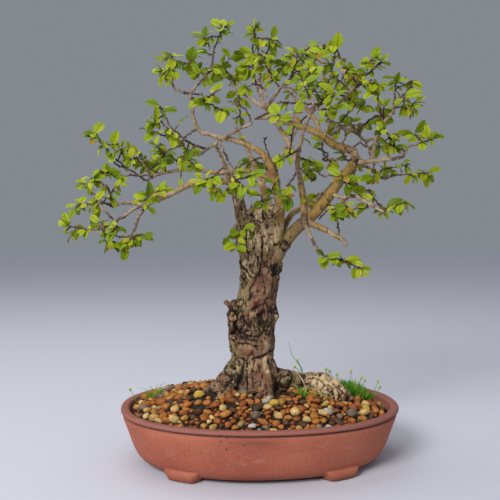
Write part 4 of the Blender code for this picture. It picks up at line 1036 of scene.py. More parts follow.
def growth_tree() -> NodeTree:
    """Build the node tree that skins a mesh's edges as tapering tubes and fills its marked points with shapes.

    The points carry thickness (metres), fill (1 where a shape goes), which, turn, size and tone.

    Returns:
        The node tree.
    """
    tree = bpy.data.node_groups.new("growth", "GeometryNodeTree")
    add = partial(add_node, tree)
    sockets = (
        ("Plan", "NodeSocketGeometry"), ("Shapes", "NodeSocketCollection"), ("Skin Finish", "NodeSocketMaterial"),
        ("Shape Finish", "NodeSocketMaterial"), ("Sides", "NodeSocketInt"), ("Knobs", "NodeSocketFloat"),
        ("Knob Size", "NodeSocketFloat"), ("Unevenness", "NodeSocketFloat"), ("Lump Size", "NodeSocketFloat"),
    )
    for name, kind in sockets:
        tree.interface.new_socket(name, in_out="INPUT", socket_type=kind)
    tree.interface.new_socket("Piece", in_out="OUTPUT", socket_type="NodeSocketGeometry")
    given = add("NodeGroupInput").outputs
    named = {}
    for name, kind in (
        ("thickness", "FLOAT"), ("fill", "FLOAT"), ("which", "INT"), ("turn", "FLOAT_VECTOR"),
        ("size", "FLOAT_VECTOR"),
    ):
        named[name] = add("GeometryNodeInputNamedAttribute", {"data_type": kind}, Name=name).outputs["Attribute"]
    normal = add("GeometryNodeInputNormal").outputs["Normal"]

    line = add("GeometryNodeMeshToCurve", Mesh=given["Plan"])
    circle = add("GeometryNodeCurvePrimitiveCircle", Resolution=given["Sides"], Radius=1.0)
    tube = add("GeometryNodeCurveToMesh", Curve=line, Profile_Curve=circle, Scale=named["thickness"], Fill_Caps=True)
    fine = add("ShaderNodeTexNoise", Scale=given["Knob Size"], Detail=2.0)
    swell = add("ShaderNodeMath", {"operation": "SUBTRACT", "at": {0: fine, 1: 0.45}})
    by_girth = add("ShaderNodeMath", {"operation": "MULTIPLY", "at": {0: swell, 1: named["thickness"]}})
    height = add("ShaderNodeMath", {"operation": "MULTIPLY", "at": {0: by_girth, 1: given["Knobs"]}})
    outward = add("ShaderNodeVectorMath", {"operation": "SCALE", "at": {0: normal}}, Scale=height)
    knobbly = add("GeometryNodeSetPosition", Geometry=tube, Offset=outward)
    skinned = add("GeometryNodeSetMaterial", Geometry=knobbly, Material=given["Skin Finish"])

    shapes = add(
        "GeometryNodeCollectionInfo", Collection=given["Shapes"], Separate_Children=True, Reset_Children=True,
    )
    turned = add("FunctionNodeEulerToRotation", Euler=named["turn"])
    filled = add(
        "GeometryNodeInstanceOnPoints", Points=given["Plan"], Selection=named["fill"], Instance=shapes,
        Pick_Instance=True, Instance_Index=named["which"], Rotation=turned, Scale=named["size"],
    )
    real = add("GeometryNodeRealizeInstances", Geometry=filled)
    lumps = add("ShaderNodeTexNoise", Scale=given["Lump Size"], Detail=1.0)
    rise = add("ShaderNodeMath", {"operation": "SUBTRACT", "at": {0: lumps, 1: 0.5}})
    reach = add("ShaderNodeMath", {"operation": "MULTIPLY", "at": {0: rise, 1: given["Unevenness"]}})
    push = add("ShaderNodeVectorMath", {"operation": "SCALE", "at": {0: normal}}, Scale=reach)
    lumpy = add("GeometryNodeSetPosition", Geometry=real, Offset=push)
    dressed = add("GeometryNodeSetMaterial", Geometry=lumpy, Material=given["Shape Finish"])
    joined = add("GeometryNodeJoinGeometry")
    for part in (skinned, dressed):
        feed(tree, joined, {0: part})
    smooth = add("GeometryNodeSetShadeSmooth", Geometry=joined)
    add("NodeGroupOutput", Piece=smooth)
    return tree


@dataclass
class GrowthRule:
    """How the growth tree makes a piece: its shapes, finishes and roughness."""

    tree: NodeTree
    shapes: Collection
    skin: Material
    cover: Material
    sides: int = 6
    knobs: float = 0.5
    knob_size: float = 2.5
    unevenness: float = 0.0
    lump_size: float = 6.0

    def inputs(self) -> dict[str, object]:
        """Return the tree's inputs by name."""
        return {
            "Shapes": self.shapes, "Skin Finish": self.skin, "Shape Finish": self.cover, "Sides": self.sides,
            "Knobs": self.knobs, "Knob Size": 1000 / self.knob_size, "Unevenness": self.unevenness * MM,
            "Lump Size": 1000 / self.lump_size,
        }


@dataclass
class Growth:
    """Collects paths and places, and grows them into one piece."""

    name: str
    points: list[Vector] = field(default_factory=list)
    edges: list[tuple[int, int]] = field(default_factory=list)
    rows: list[tuple[float, float, int, Vector, Vector, float]] = field(default_factory=list)

    def path(self, places: list[Vector], radii: list[float], tone: float = 0.5) -> None:
        """Add a path that becomes a tube.

        Args:
            places: the path's points.
            radii: the tube's radius at each point.
            tone: the tube's share along its finish's colours.
        """
        start = len(self.points)
        for place, radius in zip(places, radii):
            self.points.append(place)
            self.rows.append((radius * MM, 0.0, 0, Vector(), Vector((1, 1, 1)), tone))
        self.edges += [(i, i + 1) for i in range(start, len(self.points) - 1)]

    def shape(self, place: Vector, axes: Matrix, size: Vector, which: int, tone: float) -> None:
        """Add a place that a shape fills.

        Args:
            place: where the shape's own origin goes.
            axes: the shape's axes as columns.
            size: its size along each axis, in millimetres.
            which: the index of the shape.
            tone: its share along its finish's colours.
        """
        self.points.append(place)
        self.rows.append((0.0, 1.0, which, Vector(axes.to_euler()), size, tone))

    def grow(self, bench: Bench, rule: GrowthRule) -> Object:
        """Grow the piece as a plain mesh.

        Args:
            bench: the bench that places the mesh.
            rule: the shapes and finishes that the piece takes.

        Returns:
            The finished object.
        """
        plan = bench.mesh_object(self.name, self.points, [], outward=False)
        mesh = plan.data
        mesh.edges.add(len(self.edges))
        mesh.edges.foreach_set("vertices", [i for edge in self.edges for i in edge])
        kinds = (
            ("thickness", "FLOAT"), ("fill", "FLOAT"), ("which", "INT"), ("turn", "FLOAT_VECTOR"),
            ("size", "FLOAT_VECTOR"), ("tone", "FLOAT"),
        )
        for index, (name, kind) in enumerate(kinds):
            layer = mesh.attributes.new(name, kind, "POINT")
            values = [row[index] for row in self.rows]
            if kind == "FLOAT_VECTOR":
                layer.data.foreach_set("vector", [c for value in values for c in value])
            else:
                layer.data.foreach_set("value", values)
        step = plan.modifiers.new("growth", "NODES")
        step.node_group = rule.tree
        given = rule.inputs()
        for item in rule.tree.interface.items_tree:
            if item.item_type == "SOCKET" and item.in_out == "INPUT" and item.name in given:
                step[item.identifier] = given[item.name]
        make_plain(plan)
        plan.data.name = self.name
        layers = plan.data.attributes
        for extra in ("fill", "which", "turn", "size"):
            if extra in layers:
                layers.remove(layers[extra])
        return plan


def shape_collection(name: str, shapes: list[Object]) -> Collection:
    """Put repeated shapes into a collection of their own, out of the scene.

    Args:
        name: the collection's name.
        shapes: the shapes, in name order.

    Returns:
        The new collection.
    """
    group = bpy.data.collections.new(name)
    for shape in shapes:
        bpy.context.scene.collection.objects.unlink(shape)
        group.objects.link(shape)
    return group


def axes_of(along: Vector, face: Vector) -> Matrix:
    """Return a leaf's axes: X across it, Y along it and Z out of its upper face.

    Args:
        along: the leaf's direction.
        face: roughly the direction of its upper face.

    Returns:
        The axes as columns.
    """
    y = along.normalized()
    x = y.cross(face).normalized()
    z = x.cross(y)
    return Matrix((x, y, z)).transposed()


@dataclass(frozen=True)
class LeafForm:
    """The form of one elm leaf of unit length, toothed, folded along its midrib and arched to its tip."""

    name: str
    width: float
    arch: float
    fold: float
    twist: float

    rows: int = 12
    teeth: float = 0.05
    thickness: float = 0.012

    def half_width(self, share: float) -> float:
        """Return half the leaf's width at a share of its length."""
        return self.width / 2 * math.sin(math.pi * share ** 0.93) ** 0.6

    def make(self) -> Object:
        """Model the leaf as a thin closed solid, with its map.

        Returns:
            The new object.
        """
        points, faces, flat = [], [], []
        top, under = [], []
        for row in range(self.rows + 1):
            t = row / self.rows
            half = self.half_width(t) if 0 < row < self.rows else 0.0
            half *= 1 + self.teeth * (-1) ** row
            spread = (-1, 0, 1) if half else (0,)
            lift = -self.arch * t * t
            ids, low = [], []
            for s in spread:
                bend = self.fold * abs(s) * half + self.twist * s * half * (t - 0.4)
                place = Vector((s * half, t, lift + bend))
                ids.append(len(points))
                points.append(place)
                flat.append((0.5 + s * half / self.width, t))
                if s == 0 and half:
                    low.append(len(points))
                    points.append(place - Vector((0, 0, self.thickness * 2)))
                    flat.append((0.5, t))
                else:
                    low.append(ids[-1])
            top.append(ids)
            under.append(low)
        for side, rings in (("top", top), ("under", under)):
            for near, far in zip(rings, rings[1:]):
                faces += self.strips(near, far, side == "under")
        mesh = bpy.data.meshes.new(self.name)
        mesh.from_pydata(points, [], faces)
        layer = mesh.uv_layers.new(name="leaf_map")
        for loop in mesh.loops:
            layer.data[loop.index].uv = flat[loop.vertex_index]
        rim = {i for ids in top for i in (ids[0], ids[-1])}
        for edge in mesh.edges:
            edge.use_edge_sharp = rim.issuperset(edge.vertices)
        return stand(self.name, mesh)

    @staticmethod
    def strips(near: list[int], far: list[int], turned_over: bool) -> Faces:
        """Return the faces between two rows across the leaf.

        Args:
            near: point numbers of the first row.
            far: point numbers of the next row.
            turned_over: whether the faces look down.

        Returns:
            The faces, as rows of point numbers.
        """
        if len(near) == 1 and len(far) == 1:
            return []
        if len(near) == 1:
            made = [(near[0], far[i + 1], far[i]) for i in range(2)]
        elif len(far) == 1:
            made = [(near[i], near[i + 1], far[0]) for i in range(2)]
        else:
            made = [(near[i], near[i + 1], far[i + 1], far[i]) for i in range(2)]
        return [tuple(reversed(face)) for face in made] if turned_over else made


LEAF_FORMS = (
    LeafForm("leaf_a_broad", 0.7, 0.2, 0.18, 0.3),
    LeafForm("leaf_b_cupped", 0.6, 0.34, 0.34, -0.4),
    LeafForm("leaf_c_slim", 0.48, 0.16, 0.24, 0.5),
)


# Pot


@dataclass
class Pot:
    """The fired clay pot: a bowed wall under a rolled rim, four feet and two drain holes."""

    bench: Bench
    clay: Material
    sides: int = 144
    wobble: float = 0.35
    drain_sides: int = 32

    # From the inner floor over the rim and down the outer wall: (inset from the rim, height)
    profile: tuple[tuple[float, float], ...] = (
        (30.0, 13.0), (24.0, 14.2), (20.5, 18.0), (17.2, 22.3), (15.0, 27.0), (12.0, 34.0), (9.6, 41.0), (8.0, 45.6),
        (7.4, 47.4), (6.8, 48.3), (5.8, 48.7), (1.6, 48.6), (0.7, 48.3), (0.15, 47.8), (0.0, 47.1), (0.0, 46.3),
        (0.2, 45.8), (0.8, 45.4), (2.2, 45.1), (2.6, 44.5), (2.4, 43.8), (1.8, 43.3), (1.6, 42.4), (2.1, 40.0),
        (4.0, 35.0), (6.5, 28.0), (8.9, 21.0), (11.4, 14.8), (14.1, 9.8), (17.3, 6.1), (20.6, 4.0), (25.0, 3.3),
    )

    def build(self) -> Object:
        """Make the pot.

        Returns:
            The pot as one piece.
        """
        points = []
        for inset, height in self.profile:
            for side in range(self.sides):
                place = oval_point(inset, 360.0 * side / self.sides, height)
                lump = noise.noise(place / 38.0) * self.wobble + noise.noise(place / 9.0) * 0.12
                points.append(oval_point(inset - lump, 360.0 * side / self.sides, height))
        pot = self.bench.mesh_object("clay_pot", points, bridge_rings(len(self.profile), self.sides))
        feet = [self.foot(angle) for angle in FOOT_ANGLES]
        drains = [self.drain(x) for x in DRAIN_PLACES]
        cut_and_join(pot, feet, "UNION")
        cut_and_join(pot, drains, "DIFFERENCE")
        pot.data.materials.clear()
        pot.data.materials.append(self.clay)
        places = [self.bench.point_of(vert) for vert in pot.data.vertices]
        # Painted shade and some dirt in the groove under the rim, a darker smear and a darker foot
        set_attribute(pot.data, "grime", [self.grime(place) for place in places])
        set_attribute(pot.data, "specked", [self.specks(place) for place in places])
        set_attribute(pot.data, "worn", [max(0.0, min(1.0, (place.z - 44.6) / 1.2)) for place in places])
        return pot

    @staticmethod
    def specks(place: Vector) -> float:
        """Return how freely dark specks show at a point: most on the left of the front wall.

        Args:
            place: a point of the pot's frame.

        Returns:
            The size that specks reach there, as a share.
        """
        across, down = VIEWER.pixel(place)
        spread = ((across - 222) / 38) ** 2 + ((down - 451) / 15) ** 2
        return 0.42 + (0.55 * math.exp(-spread) if place.y < 0.0 else 0.0)

    def grime(self, place: Vector) -> float:
        """Return how dark the clay is painted at a point: painted shade, with some dirt, in the groove under the
        rolled rim, a darker smear on the front wall, and darkening towards the foot.

        Args:
            place: a point of the pot's frame.

        Returns:
            0 where the clay keeps its colour and 1 where it is darkest.
        """
        share = 0.0
        # Painted shade, with some dirt, in the groove under the rolled rim
        if oval_share(place.x, place.y, 0.0) > 0.9:
            share += 1.2 * math.exp(-((place.z - 44.5) / 1.0) ** 2)
        across, down = VIEWER.pixel(place)
        # A darker smear on the front wall
        if place.y < -40.0:
            smear = ((across - 256) / 18) ** 2 + ((down - 443.5) / 3.5) ** 2
            share += 0.45 * math.exp(-smear)
        # Darker towards the foot
        share += 0.35 * max(0.0, 1.0 - place.z / 9.0)
        return min(1.0, share)

    def foot(self, middle: float) -> Object:
        """Make one foot that follows the oval under the wall, rounded at both ends.

        Args:
            middle: the foot's middle, in degrees round the oval.

        Returns:
            The new object.
        """
        points = []
        steps, corners = 16, 12
        centre = (FOOT_INSET[0] + FOOT_INSET[1]) / 2
        half = (FOOT_INSET[1] - FOOT_INSET[0]) / 2
        for step in range(steps + 1):
            share = 2.0 * step / steps - 1.0
            slim = max(0.2, (1.0 - abs(share) ** 9) ** 0.5)
            for corner in range(corners):
                turn = math.tau * corner / corners
                side, up = math.cos(turn), math.sin(turn)
                side = math.copysign(abs(side) ** 0.45, side)
                height = 5.0 + 5.0 * math.copysign(abs(up) ** 0.45, up)
                flare = 0.94 + 0.12 * (height / 10.0)
                spread = middle + FOOT_HALF_ANGLE * share * (0.9 + 0.35 * height / 10.0)
                points.append(oval_point(centre + half * slim * flare * side, spread, height))
        return self.bench.mesh_object("foot", points, bridge_rings(steps + 1, corners))

    def drain(self, x: float) -> Object:
        """Make the cutter of one drain hole.

        Args:
            x: the hole's place along the pot.

        Returns:
            The new object.
        """
        points = []
        for height in (4.0, 16.0):
            for side in range(self.drain_sides):
                angle = math.tau * side / self.drain_sides
                points.append((x + DRAIN_RADIUS * math.cos(angle), DRAIN_RADIUS * math.sin(angle), height))
        return self.bench.mesh_object("drain", points, bridge_rings(2, self.drain_sides))


def cut_and_join(body: Object, tools: list[Object], operation: str) -> None:
    """Apply solid tools to a body and delete them.

    Args:
        body: the object that is changed.
        tools: closed meshes.
        operation: UNION or DIFFERENCE.
    """
    for tool in tools:
        step = body.modifiers.new("solid", "BOOLEAN")
        step.operation, step.object, step.solver = operation, tool, "EXACT"
    make_plain(body)
    for tool in tools:
        bpy.data.objects.remove(tool)


# Soil and gravel


@dataclass
class Soil:
    """The dark mound that fills the pot, crumbly between the stones."""

    bench: Bench
    earth: Material
    sides: int = 300
    rings: int = 90
    crumb_size: float = 3.4
    crumb_rise: float = 1.5

    def build(self) -> Object:
        """Make the soil as one closed solid.

        Returns:
            The soil as one piece.
        """
        points = []
        for inset, height in ((30.3, 13.3), (21.0, 18.3), (15.5, 27.0)):
            points += [oval_point(inset, 360.0 * side / self.sides, height) for side in range(self.sides)]
        for ring in range(self.rings + 1):
            share = 1.0 - 0.995 * ring / self.rings
            for side in range(self.sides):
                edge = oval_point(RIM_WIDTH + 2.2, 360.0 * side / self.sides, 0.0)
                points.append(self.surface(edge.x * share, edge.y * share))
        soil = self.bench.mesh_object("crumbly_soil", points, bridge_rings(self.rings + 4, self.sides))
        soil.data.materials.append(self.earth)
        return soil

    def surface(self, x: float, y: float) -> Vector:
        """Return the crumbly surface's point over a place.

        Args:
            x: millimetres along the pot.
            y: millimetres across it.

        Returns:
            The point.
        """
        place = Vector((x, y, 0.0))
        crumbs = noise.noise(place / self.crumb_size) + 0.5 * noise.noise(place / (self.crumb_size * 0.45))
        return Vector((x, y, soil_height(x, y) + 0.9 + self.crumb_rise * crumbs))


@dataclass(frozen=True)
class Stone:
    """One pebble: its place on the mound, radius and tone."""

    x: float
    y: float
    radius: float
    tone: float


# Stones that the photograph shows one by one: (across, down, radius, tone)
NAMED_STONES = (
    (199.5, 398, 6.2, 0.8), (176, 413, 5.4, 0.66), (175, 423, 5.2, 0.7), (154, 421, 5.4, 0.64),
    (160.6, 406, 5.6, 0.3), (171, 405, 4.6, 0.02), (257, 412, 5.0, 0.03), (242, 396, 5.4, 0.9),
    (267.6, 404, 5.2, 1.0), (328, 415, 5.4, 1.0), (273.6, 407, 5.0, 0.8), (366, 412, 5.0, 0.8), (279, 419, 5.4, 0.68),
    (295, 416, 5.6, 0.7), (307, 423, 5.2, 0.68), (322.6, 416, 5.0, 0.7), (352, 418, 7.4, 0.93), (252, 430, 4.0, 1.0),
    (215, 409, 5.4, 0.25), (230, 404, 5.0, 0.2), (226, 418, 6.0, 0.5), (205, 421, 5.8, 0.3), (188, 408, 5.0, 0.35),
    (263, 425, 5.4, 0.4), (340, 408, 5.0, 0.35), (146, 408, 5.2, 0.25), (243, 408, 5.4, 0.2), (316, 405, 4.6, 0.3),
)
# Batches of scattered stones: (how many, smallest radius, largest radius)
STONE_BATCHES = ((34, 4.0, 5.0), (270, 3.0, 4.1), (520, 2.0, 3.0), (300, 1.1, 2.0))
# Patches of bare soil, as ovals in the photograph's pixels: (across, down, half width, half height)
BARE_PATCHES = (
    (206, 381, 15, 7), (206, 399, 17, 7), (197, 411, 8, 4), (229, 408, 8, 4), (262, 391, 16, 5), (281, 395, 9, 5),
    (305, 398, 8, 3),
)
STONE_SEED = 23
# What the stones keep off besides the roots, in the viewer's frame: the trunk's foot as (x, y, z, radius), and
# the pearlwort's cushion in the same way
TRUNK_FOOT = ((-9, 4, 50, 25.0), (-9, 4, 75, 24.0))
CUSHION = (85, 16, 56, 17.0)


@dataclass
class Gravel:
    """Loose pea gravel over the mound, laid from the largest stones to the smallest."""

    bench: Bench
    finish: Material
    tree: NodeTree
    stones: list[Stone] = field(default_factory=list)
    forms: int = 8
    tries: int = 60
    bare_chance: float = 0.995
    most_tilt: float = 0.35

    def build(self, obstacles: Balls) -> Object:
        """Lay the stones round what grows in the soil.

        Args:
            obstacles: balls that stones keep off.

        Returns:
            The gravel as one piece.
        """
        for across, down, radius, tone in NAMED_STONES:
            place = on_mound(across, down)
            if oval_share(place.x, place.y, RIM_WIDTH + 3.0 + radius * 0.5) < 1.0:
                self.stones.append(Stone(place.x, place.y, radius * 0.85, tone))
        rng = random.Random(STONE_SEED)
        low = [(Vector((p.x, p.y)), r) for p, r in obstacles if p.z - r < soil_height(p.x, p.y) + 4.0]
        for count, smallest, largest in STONE_BATCHES:
            for _ in range(count):
                self.throw(rng, rng.uniform(smallest, largest), low)
        growth = Growth("pebbles")
        for stone in self.stones:
            self.lay(growth, stone, rng)
        group = shape_collection("stones", [self.form(index) for index in range(self.forms)])
        rule = GrowthRule(self.tree, group, self.finish, self.finish, unevenness=0.9, lump_size=5.0)
        return growth.grow(self.bench, rule)

    def throw(self, rng: random.Random, radius: float, low: Balls) -> None:
        """Find a free place for one stone.

        Args:
            rng: the source of chance.
            radius: the stone's radius.
            low: circles that stones keep off.
        """
        for _ in range(self.tries):
            x = rng.uniform(-POT_LENGTH / 2, POT_LENGTH / 2)
            y = rng.uniform(-POT_WIDTH / 2, POT_WIDTH / 2)
            if oval_share(x, y, RIM_WIDTH + 2.4 + radius) > 1.0:
                continue
            if any((Vector((x, y)) - p).length < r + radius * 0.55 for p, r in low):
                continue
            if self.is_bare(x, y) and rng.random() < self.bare_chance:
                continue
            if all(math.hypot(x - s.x, y - s.y) > (radius + s.radius) * 0.8 for s in self.stones):
                self.stones.append(Stone(x, y, radius, self.tone(rng)))
                return

    @staticmethod
    def is_bare(x: float, y: float) -> bool:
        """Tell whether a place is in a patch of bare soil.

        Args:
            x: millimetres along the pot.
            y: millimetres across it.

        Returns:
            Whether the soil is bare there.
        """
        across, down = VIEWER.pixel(Vector((x, y, soil_height(x, y))))
        return any(
            ((across - left) / wide) ** 2 + ((down - top) / high) ** 2 < 1.0 for left, top, wide, high in BARE_PATCHES
        )

    @staticmethod
    def tone(rng: random.Random) -> float:
        """Pick a stone's place along the finish's colours: mostly orange and tan.

        Args:
            rng: the source of chance.

        Returns:
            The share along the colours.
        """
        return rng.choices(
            (rng.uniform(0.0, 0.1), rng.uniform(0.14, 0.52), rng.uniform(0.52, 0.76), rng.uniform(0.84, 1.0)),
            (17, 62, 15, 6),
        )[0]

    def lay(self, growth: Growth, stone: Stone, rng: random.Random) -> None:
        """Add one stone, flattened, lying nearly flat on the soil.

        Args:
            growth: the growth that takes it.
            stone: the stone.
            rng: the source of chance.
        """
        flat = rng.uniform(0.55, 0.8)
        lift = stone.radius * flat * 0.55 + rng.uniform(0.0, 1.2)
        place = Vector((stone.x, stone.y, soil_height(stone.x, stone.y) + 0.6 + lift))
        tilts = [Matrix.Rotation(rng.uniform(-self.most_tilt, self.most_tilt), 3, axis) for axis in "XY"]
        axes = tilts[0] @ tilts[1] @ Matrix.Rotation(rng.uniform(0.0, math.tau), 3, "Z")
        spans = (rng.uniform(1.0, 1.22), rng.uniform(0.8, 1.0), flat)
        size = Vector([stone.radius * span for span in spans])
        growth.shape(place, axes, size * MM, rng.randrange(self.forms), stone.tone)

    @staticmethod
    def form(index: int) -> Object:
        """Model one stone form of unit radius.

        Args:
            index: the form's number.

        Returns:
            The new object.
        """
        build = bmesh.new()
        bmesh.ops.create_icosphere(build, subdivisions=2, radius=1.08)
        rng = random.Random(70 + index)
        cuts = [(Vector([rng.gauss(0, 1) for _ in range(3)]).normalized(), rng.uniform(0.62, 0.86)) for _ in range(7)]
        for vert in build.verts:
            push = noise.noise(vert.co * 0.9 + Vector((7.0 * index, 3.0, 1.0)))
            vert.co *= 1.0 + 0.3 * push
            for plane, reach in cuts:
                over = vert.co.dot(plane) - reach
                if over > 0.0:
                    vert.co -= plane * over * 0.85
        return stand_build(f"stone_{index}", build)


# Tree wood


class Mark(Enum):
    """What a patch of the trunk's front is like."""

    SMOOTH = "smooth"
    SCALY = "scaly"
    ROSY = "rosy"
    LICHEN = "lichen"
    BLEACHED = "bleached"
    # Painted shade in recesses, and a few patches that are dark of themselves
    SHADE_AND_DARK = "deep"


# Patches of the trunk's front as ovals, in the photograph's pixels: (across, down, half width, half height)
PATCHES = {
    Mark.SMOOTH: (
        (263, 291, 13, 17), (242, 288, 8, 15), (262, 371, 13, 14), (258, 351, 17, 8), (270, 232, 9, 11),
        (238, 366, 8, 9), (252, 311, 7, 7),
    ),
    Mark.ROSY: (
        (264, 292, 17, 24), (252, 312, 9, 9), (262, 331, 16, 12), (262, 378, 12, 8), (263, 361, 12, 7),
        (248, 353, 8, 4), (270, 250, 10, 20),
    ),
    # Painted shade in the burls' recesses and the foot's flutes, and the root's dark brown ridge
    Mark.SHADE_AND_DARK: (
        (318, 374, 7, 2.4), (263, 314, 12, 13), (252, 333, 11, 5), (236, 321, 9, 19), (240, 379, 7, 10),
        (285, 384, 7, 6),
    ),
    Mark.LICHEN: ((241, 275, 12, 40), (243, 232, 8, 20), (230, 360, 9, 14), (284, 380, 8, 10), (297, 379, 7, 9)),
    Mark.BLEACHED: ((326, 384, 25, 15), (267, 364, 5, 9), (259, 210, 17, 13), (262, 232, 17, 18), (251, 262, 9, 17)),
    Mark.SCALY: ((250, 260, 13, 21), (254, 224, 20, 24), (272, 236, 10, 16)),
}


@dataclass(frozen=True)
class Fold:
    """A raised or sunk line on the trunk's front, through pixels of the photograph."""

    line: tuple[tuple[float, float], ...]
    width: float
    rise: float
    # Painted shade laid along the line, mostly in the crease of a sunk line
    dark: float = 0.0

    def nearness(self, across: float, down: float) -> float:
        """Return 1 on the line, falling to 0 away from it.

        Args:
            across: pixels from the left.
            down: pixels from the top.

        Returns:
            The nearness.
        """
        gap = 3.0 * self.width
        for (x, y), (to_x, to_y) in zip(self.line, self.line[1:]):
            run_x, run_y = to_x - x, to_y - y
            length = run_x * run_x + run_y * run_y
            share = min(1.0, max(0.0, ((across - x) * run_x + (down - y) * run_y) / length))
            gap = min(gap, math.hypot(across - x - run_x * share, down - y - run_y * share))
        return math.exp(-(gap / self.width) ** 2) if gap < 2.9 * self.width else 0.0


FOLDS = (
    # Burl on the front right: a hood over a recess, painted dark with shade
    Fold(((249, 309), (255, 303), (262, 298), (269, 301), (275, 309), (278, 319), (276, 330)), 2.4, 2.4),
    Fold(((253, 310), (259, 304), (265, 303), (271, 309), (273, 318)), 1.2, -1.8, 0.8),
    Fold(((256, 313), (262, 307), (267, 309), (270, 317), (268, 326)), 1.5, 1.4),
    Fold(((258, 316), (259.5, 320), (262, 325)), 2.8, -3.6, 1.0),
    Fold(((264, 312), (264.5, 318)), 1.1, -1.4, 0.8),
    Fold(((273, 313), (272, 322), (266, 329)), 1.0, -1.3, 0.7),
    Fold(((270, 318), (269, 325), (263, 331)), 1.5, 1.5),
    Fold(((240, 330), (246, 336), (256, 337), (264, 332)), 1.1, -1.4, 0.8),
    Fold(((243, 327), (249, 332), (257, 332)), 1.3, 1.3),
    Fold(((245, 312), (247, 319), (252, 325)), 1.3, 1.3),
    Fold(((243, 311), (244, 319), (248, 327)), 1.1, -1.5, 0.8),
    # Burl on the left
    Fold(((232, 303), (239, 303), (244, 308), (243, 315), (237, 320)), 1.9, 1.9),
    Fold(((229, 307), (235, 311), (238, 318), (234, 325)), 1.3, -1.6, 0.9),
    Fold(((228, 314), (232, 320), (233, 329), (229, 336)), 1.7, 1.6),
    Fold(((239, 322), (242, 330), (239, 338)), 1.5, 1.6),
    Fold(((236, 323), (238, 332), (235, 340)), 1.1, -1.6, 0.9),
    Fold(((229, 338), (236, 343), (246, 344), (256, 346)), 1.2, -1.2, 0.7),
    # Ridges round the trunk over its foot
    Fold(((231, 344), (240, 342.5), (252, 343.5), (262, 345)), 1.0, 0.8),
    Fold(((252, 360), (260, 357), (268, 353), (276, 348)), 1.0, -1.1, 0.75),
    Fold(((256, 364), (264, 360), (273, 355)), 1.6, 0.9),
    Fold(((231, 352), (237, 358), (241, 366)), 0.9, -0.9, 0.6),
    Fold(((236, 349), (242, 351)), 0.7, -0.7, 0.45),
    Fold(((246, 353), (253, 355)), 0.7, -0.7, 0.45),
    Fold(((256, 350), (263, 349)), 0.7, -0.7, 0.45),
    Fold(((266, 347), (272, 343)), 0.7, -0.7, 0.45),
    Fold(((243, 358), (247, 364)), 0.8, -0.8, 0.5),
    # Flutes and crevices of the foot
    Fold(((247, 359), (246.5, 370), (247, 390)), 0.8, -1.8, 1.0),
    Fold(((243, 366), (241, 376), (238, 390)), 2.2, -2.6, 1.0),
    Fold(((254, 362), (253, 374), (254, 388)), 0.9, -1.4, 0.7),
    Fold(((259, 366), (261, 376), (259, 388)), 1.0, -1.2, 0.6),
    Fold(((269, 360), (272, 372), (276, 386)), 1.3, -1.5, 0.6),
    Fold(((232, 378), (227, 385), (222, 392)), 1.5, -1.8, 0.9),
    Fold(((225, 370), (228, 363), (234, 361), (239, 366), (237, 374), (230, 377)), 1.4, 1.5),
    Fold(((231, 366), (234, 369)), 1.6, -1.6, 0.8),
    Fold(((278, 368), (280, 378), (277, 390)), 1.4, -2.0, 0.9),
    Fold(((290, 370), (292, 379), (289, 390)), 1.3, -1.8, 0.9),
    Fold(((303, 373), (304, 381), (301, 392)), 1.5, -2.0, 0.9),
    Fold(((282, 376), (286, 382), (284, 388)), 0.8, -0.8, 0.5),
    Fold(((307, 377), (318, 380), (329, 386), (335, 395)), 0.8, -0.9, 0.55),
    Fold(((311, 386), (320, 389), (327, 397)), 0.9, -1.0, 0.6),
    Fold(((338, 387), (344, 393), (349, 402)), 0.8, -0.9, 0.6),
    # Scaly tongue on the upper front, the scar beside it and the dark knot
    Fold(((238, 258), (244, 270), (254, 279), (260, 272), (262, 258), (262, 240)), 1.1, -1.6, 0.9),
    Fold(((247, 250), (250, 262), (254, 274)), 1.0, -1.1, 0.6),
    Fold(((254, 244), (257, 258), (258, 268)), 1.0, -1.1, 0.6),
    Fold(((243.6, 275.5), (246.9, 281), (243.6, 286.5), (240.3, 281), (243.6, 275.5)), 1.1, 1.1),
    Fold(((243.6, 273.5), (248, 281), (243.6, 288.5), (239.2, 281), (243.6, 273.5)), 0.8, -0.8, 0.6),
    Fold(((243.6, 279), (243.6, 284)), 1.6, -1.2, 0.75),
    # Crease between the olive and the pinkish bark, and the wrinkles of the pinkish bark
    Fold(((256, 280), (250, 289), (246, 298), (246, 306)), 1.0, -1.0, 0.6),
    Fold(((253, 279), (247, 288), (243, 297)), 1.4, 0.9),
    Fold(((257, 284), (264, 282), (271, 285)), 0.7, -0.5, 0.35),
    Fold(((253, 293), (260, 291), (268, 294)), 0.7, -0.5, 0.35),
    Fold(((262, 277), (266, 288), (265, 297)), 0.8, -0.6, 0.35),
    Fold(((272, 283), (273, 293), (271, 301)), 0.8, -0.6, 0.4),
    Fold(((274, 263), (279, 270), (274, 277), (268, 270), (274, 263)), 1.5, 1.5),
    Fold(((274, 266), (274, 274)), 3.6, -1.0, 0.8),
    Fold(((270, 258), (280, 262), (282, 276), (276, 282)), 1.4, 1.0, 0.3),
    # Flaking bark under the broken top
    Fold(((252, 214), (256, 224), (253, 236)), 1.0, -1.2, 0.5),
    Fold(((262, 206), (263, 218), (268, 228)), 1.0, -1.2, 0.5),
    Fold(((262, 238), (270, 234), (278, 238)), 1.1, -1.2, 0.6),
    Fold(((240, 226), (246, 236), (247, 248)), 1.1, -1.3, 0.6),
    Fold(((266, 222), (272, 226), (270, 232)), 1.4, 1.2),
)

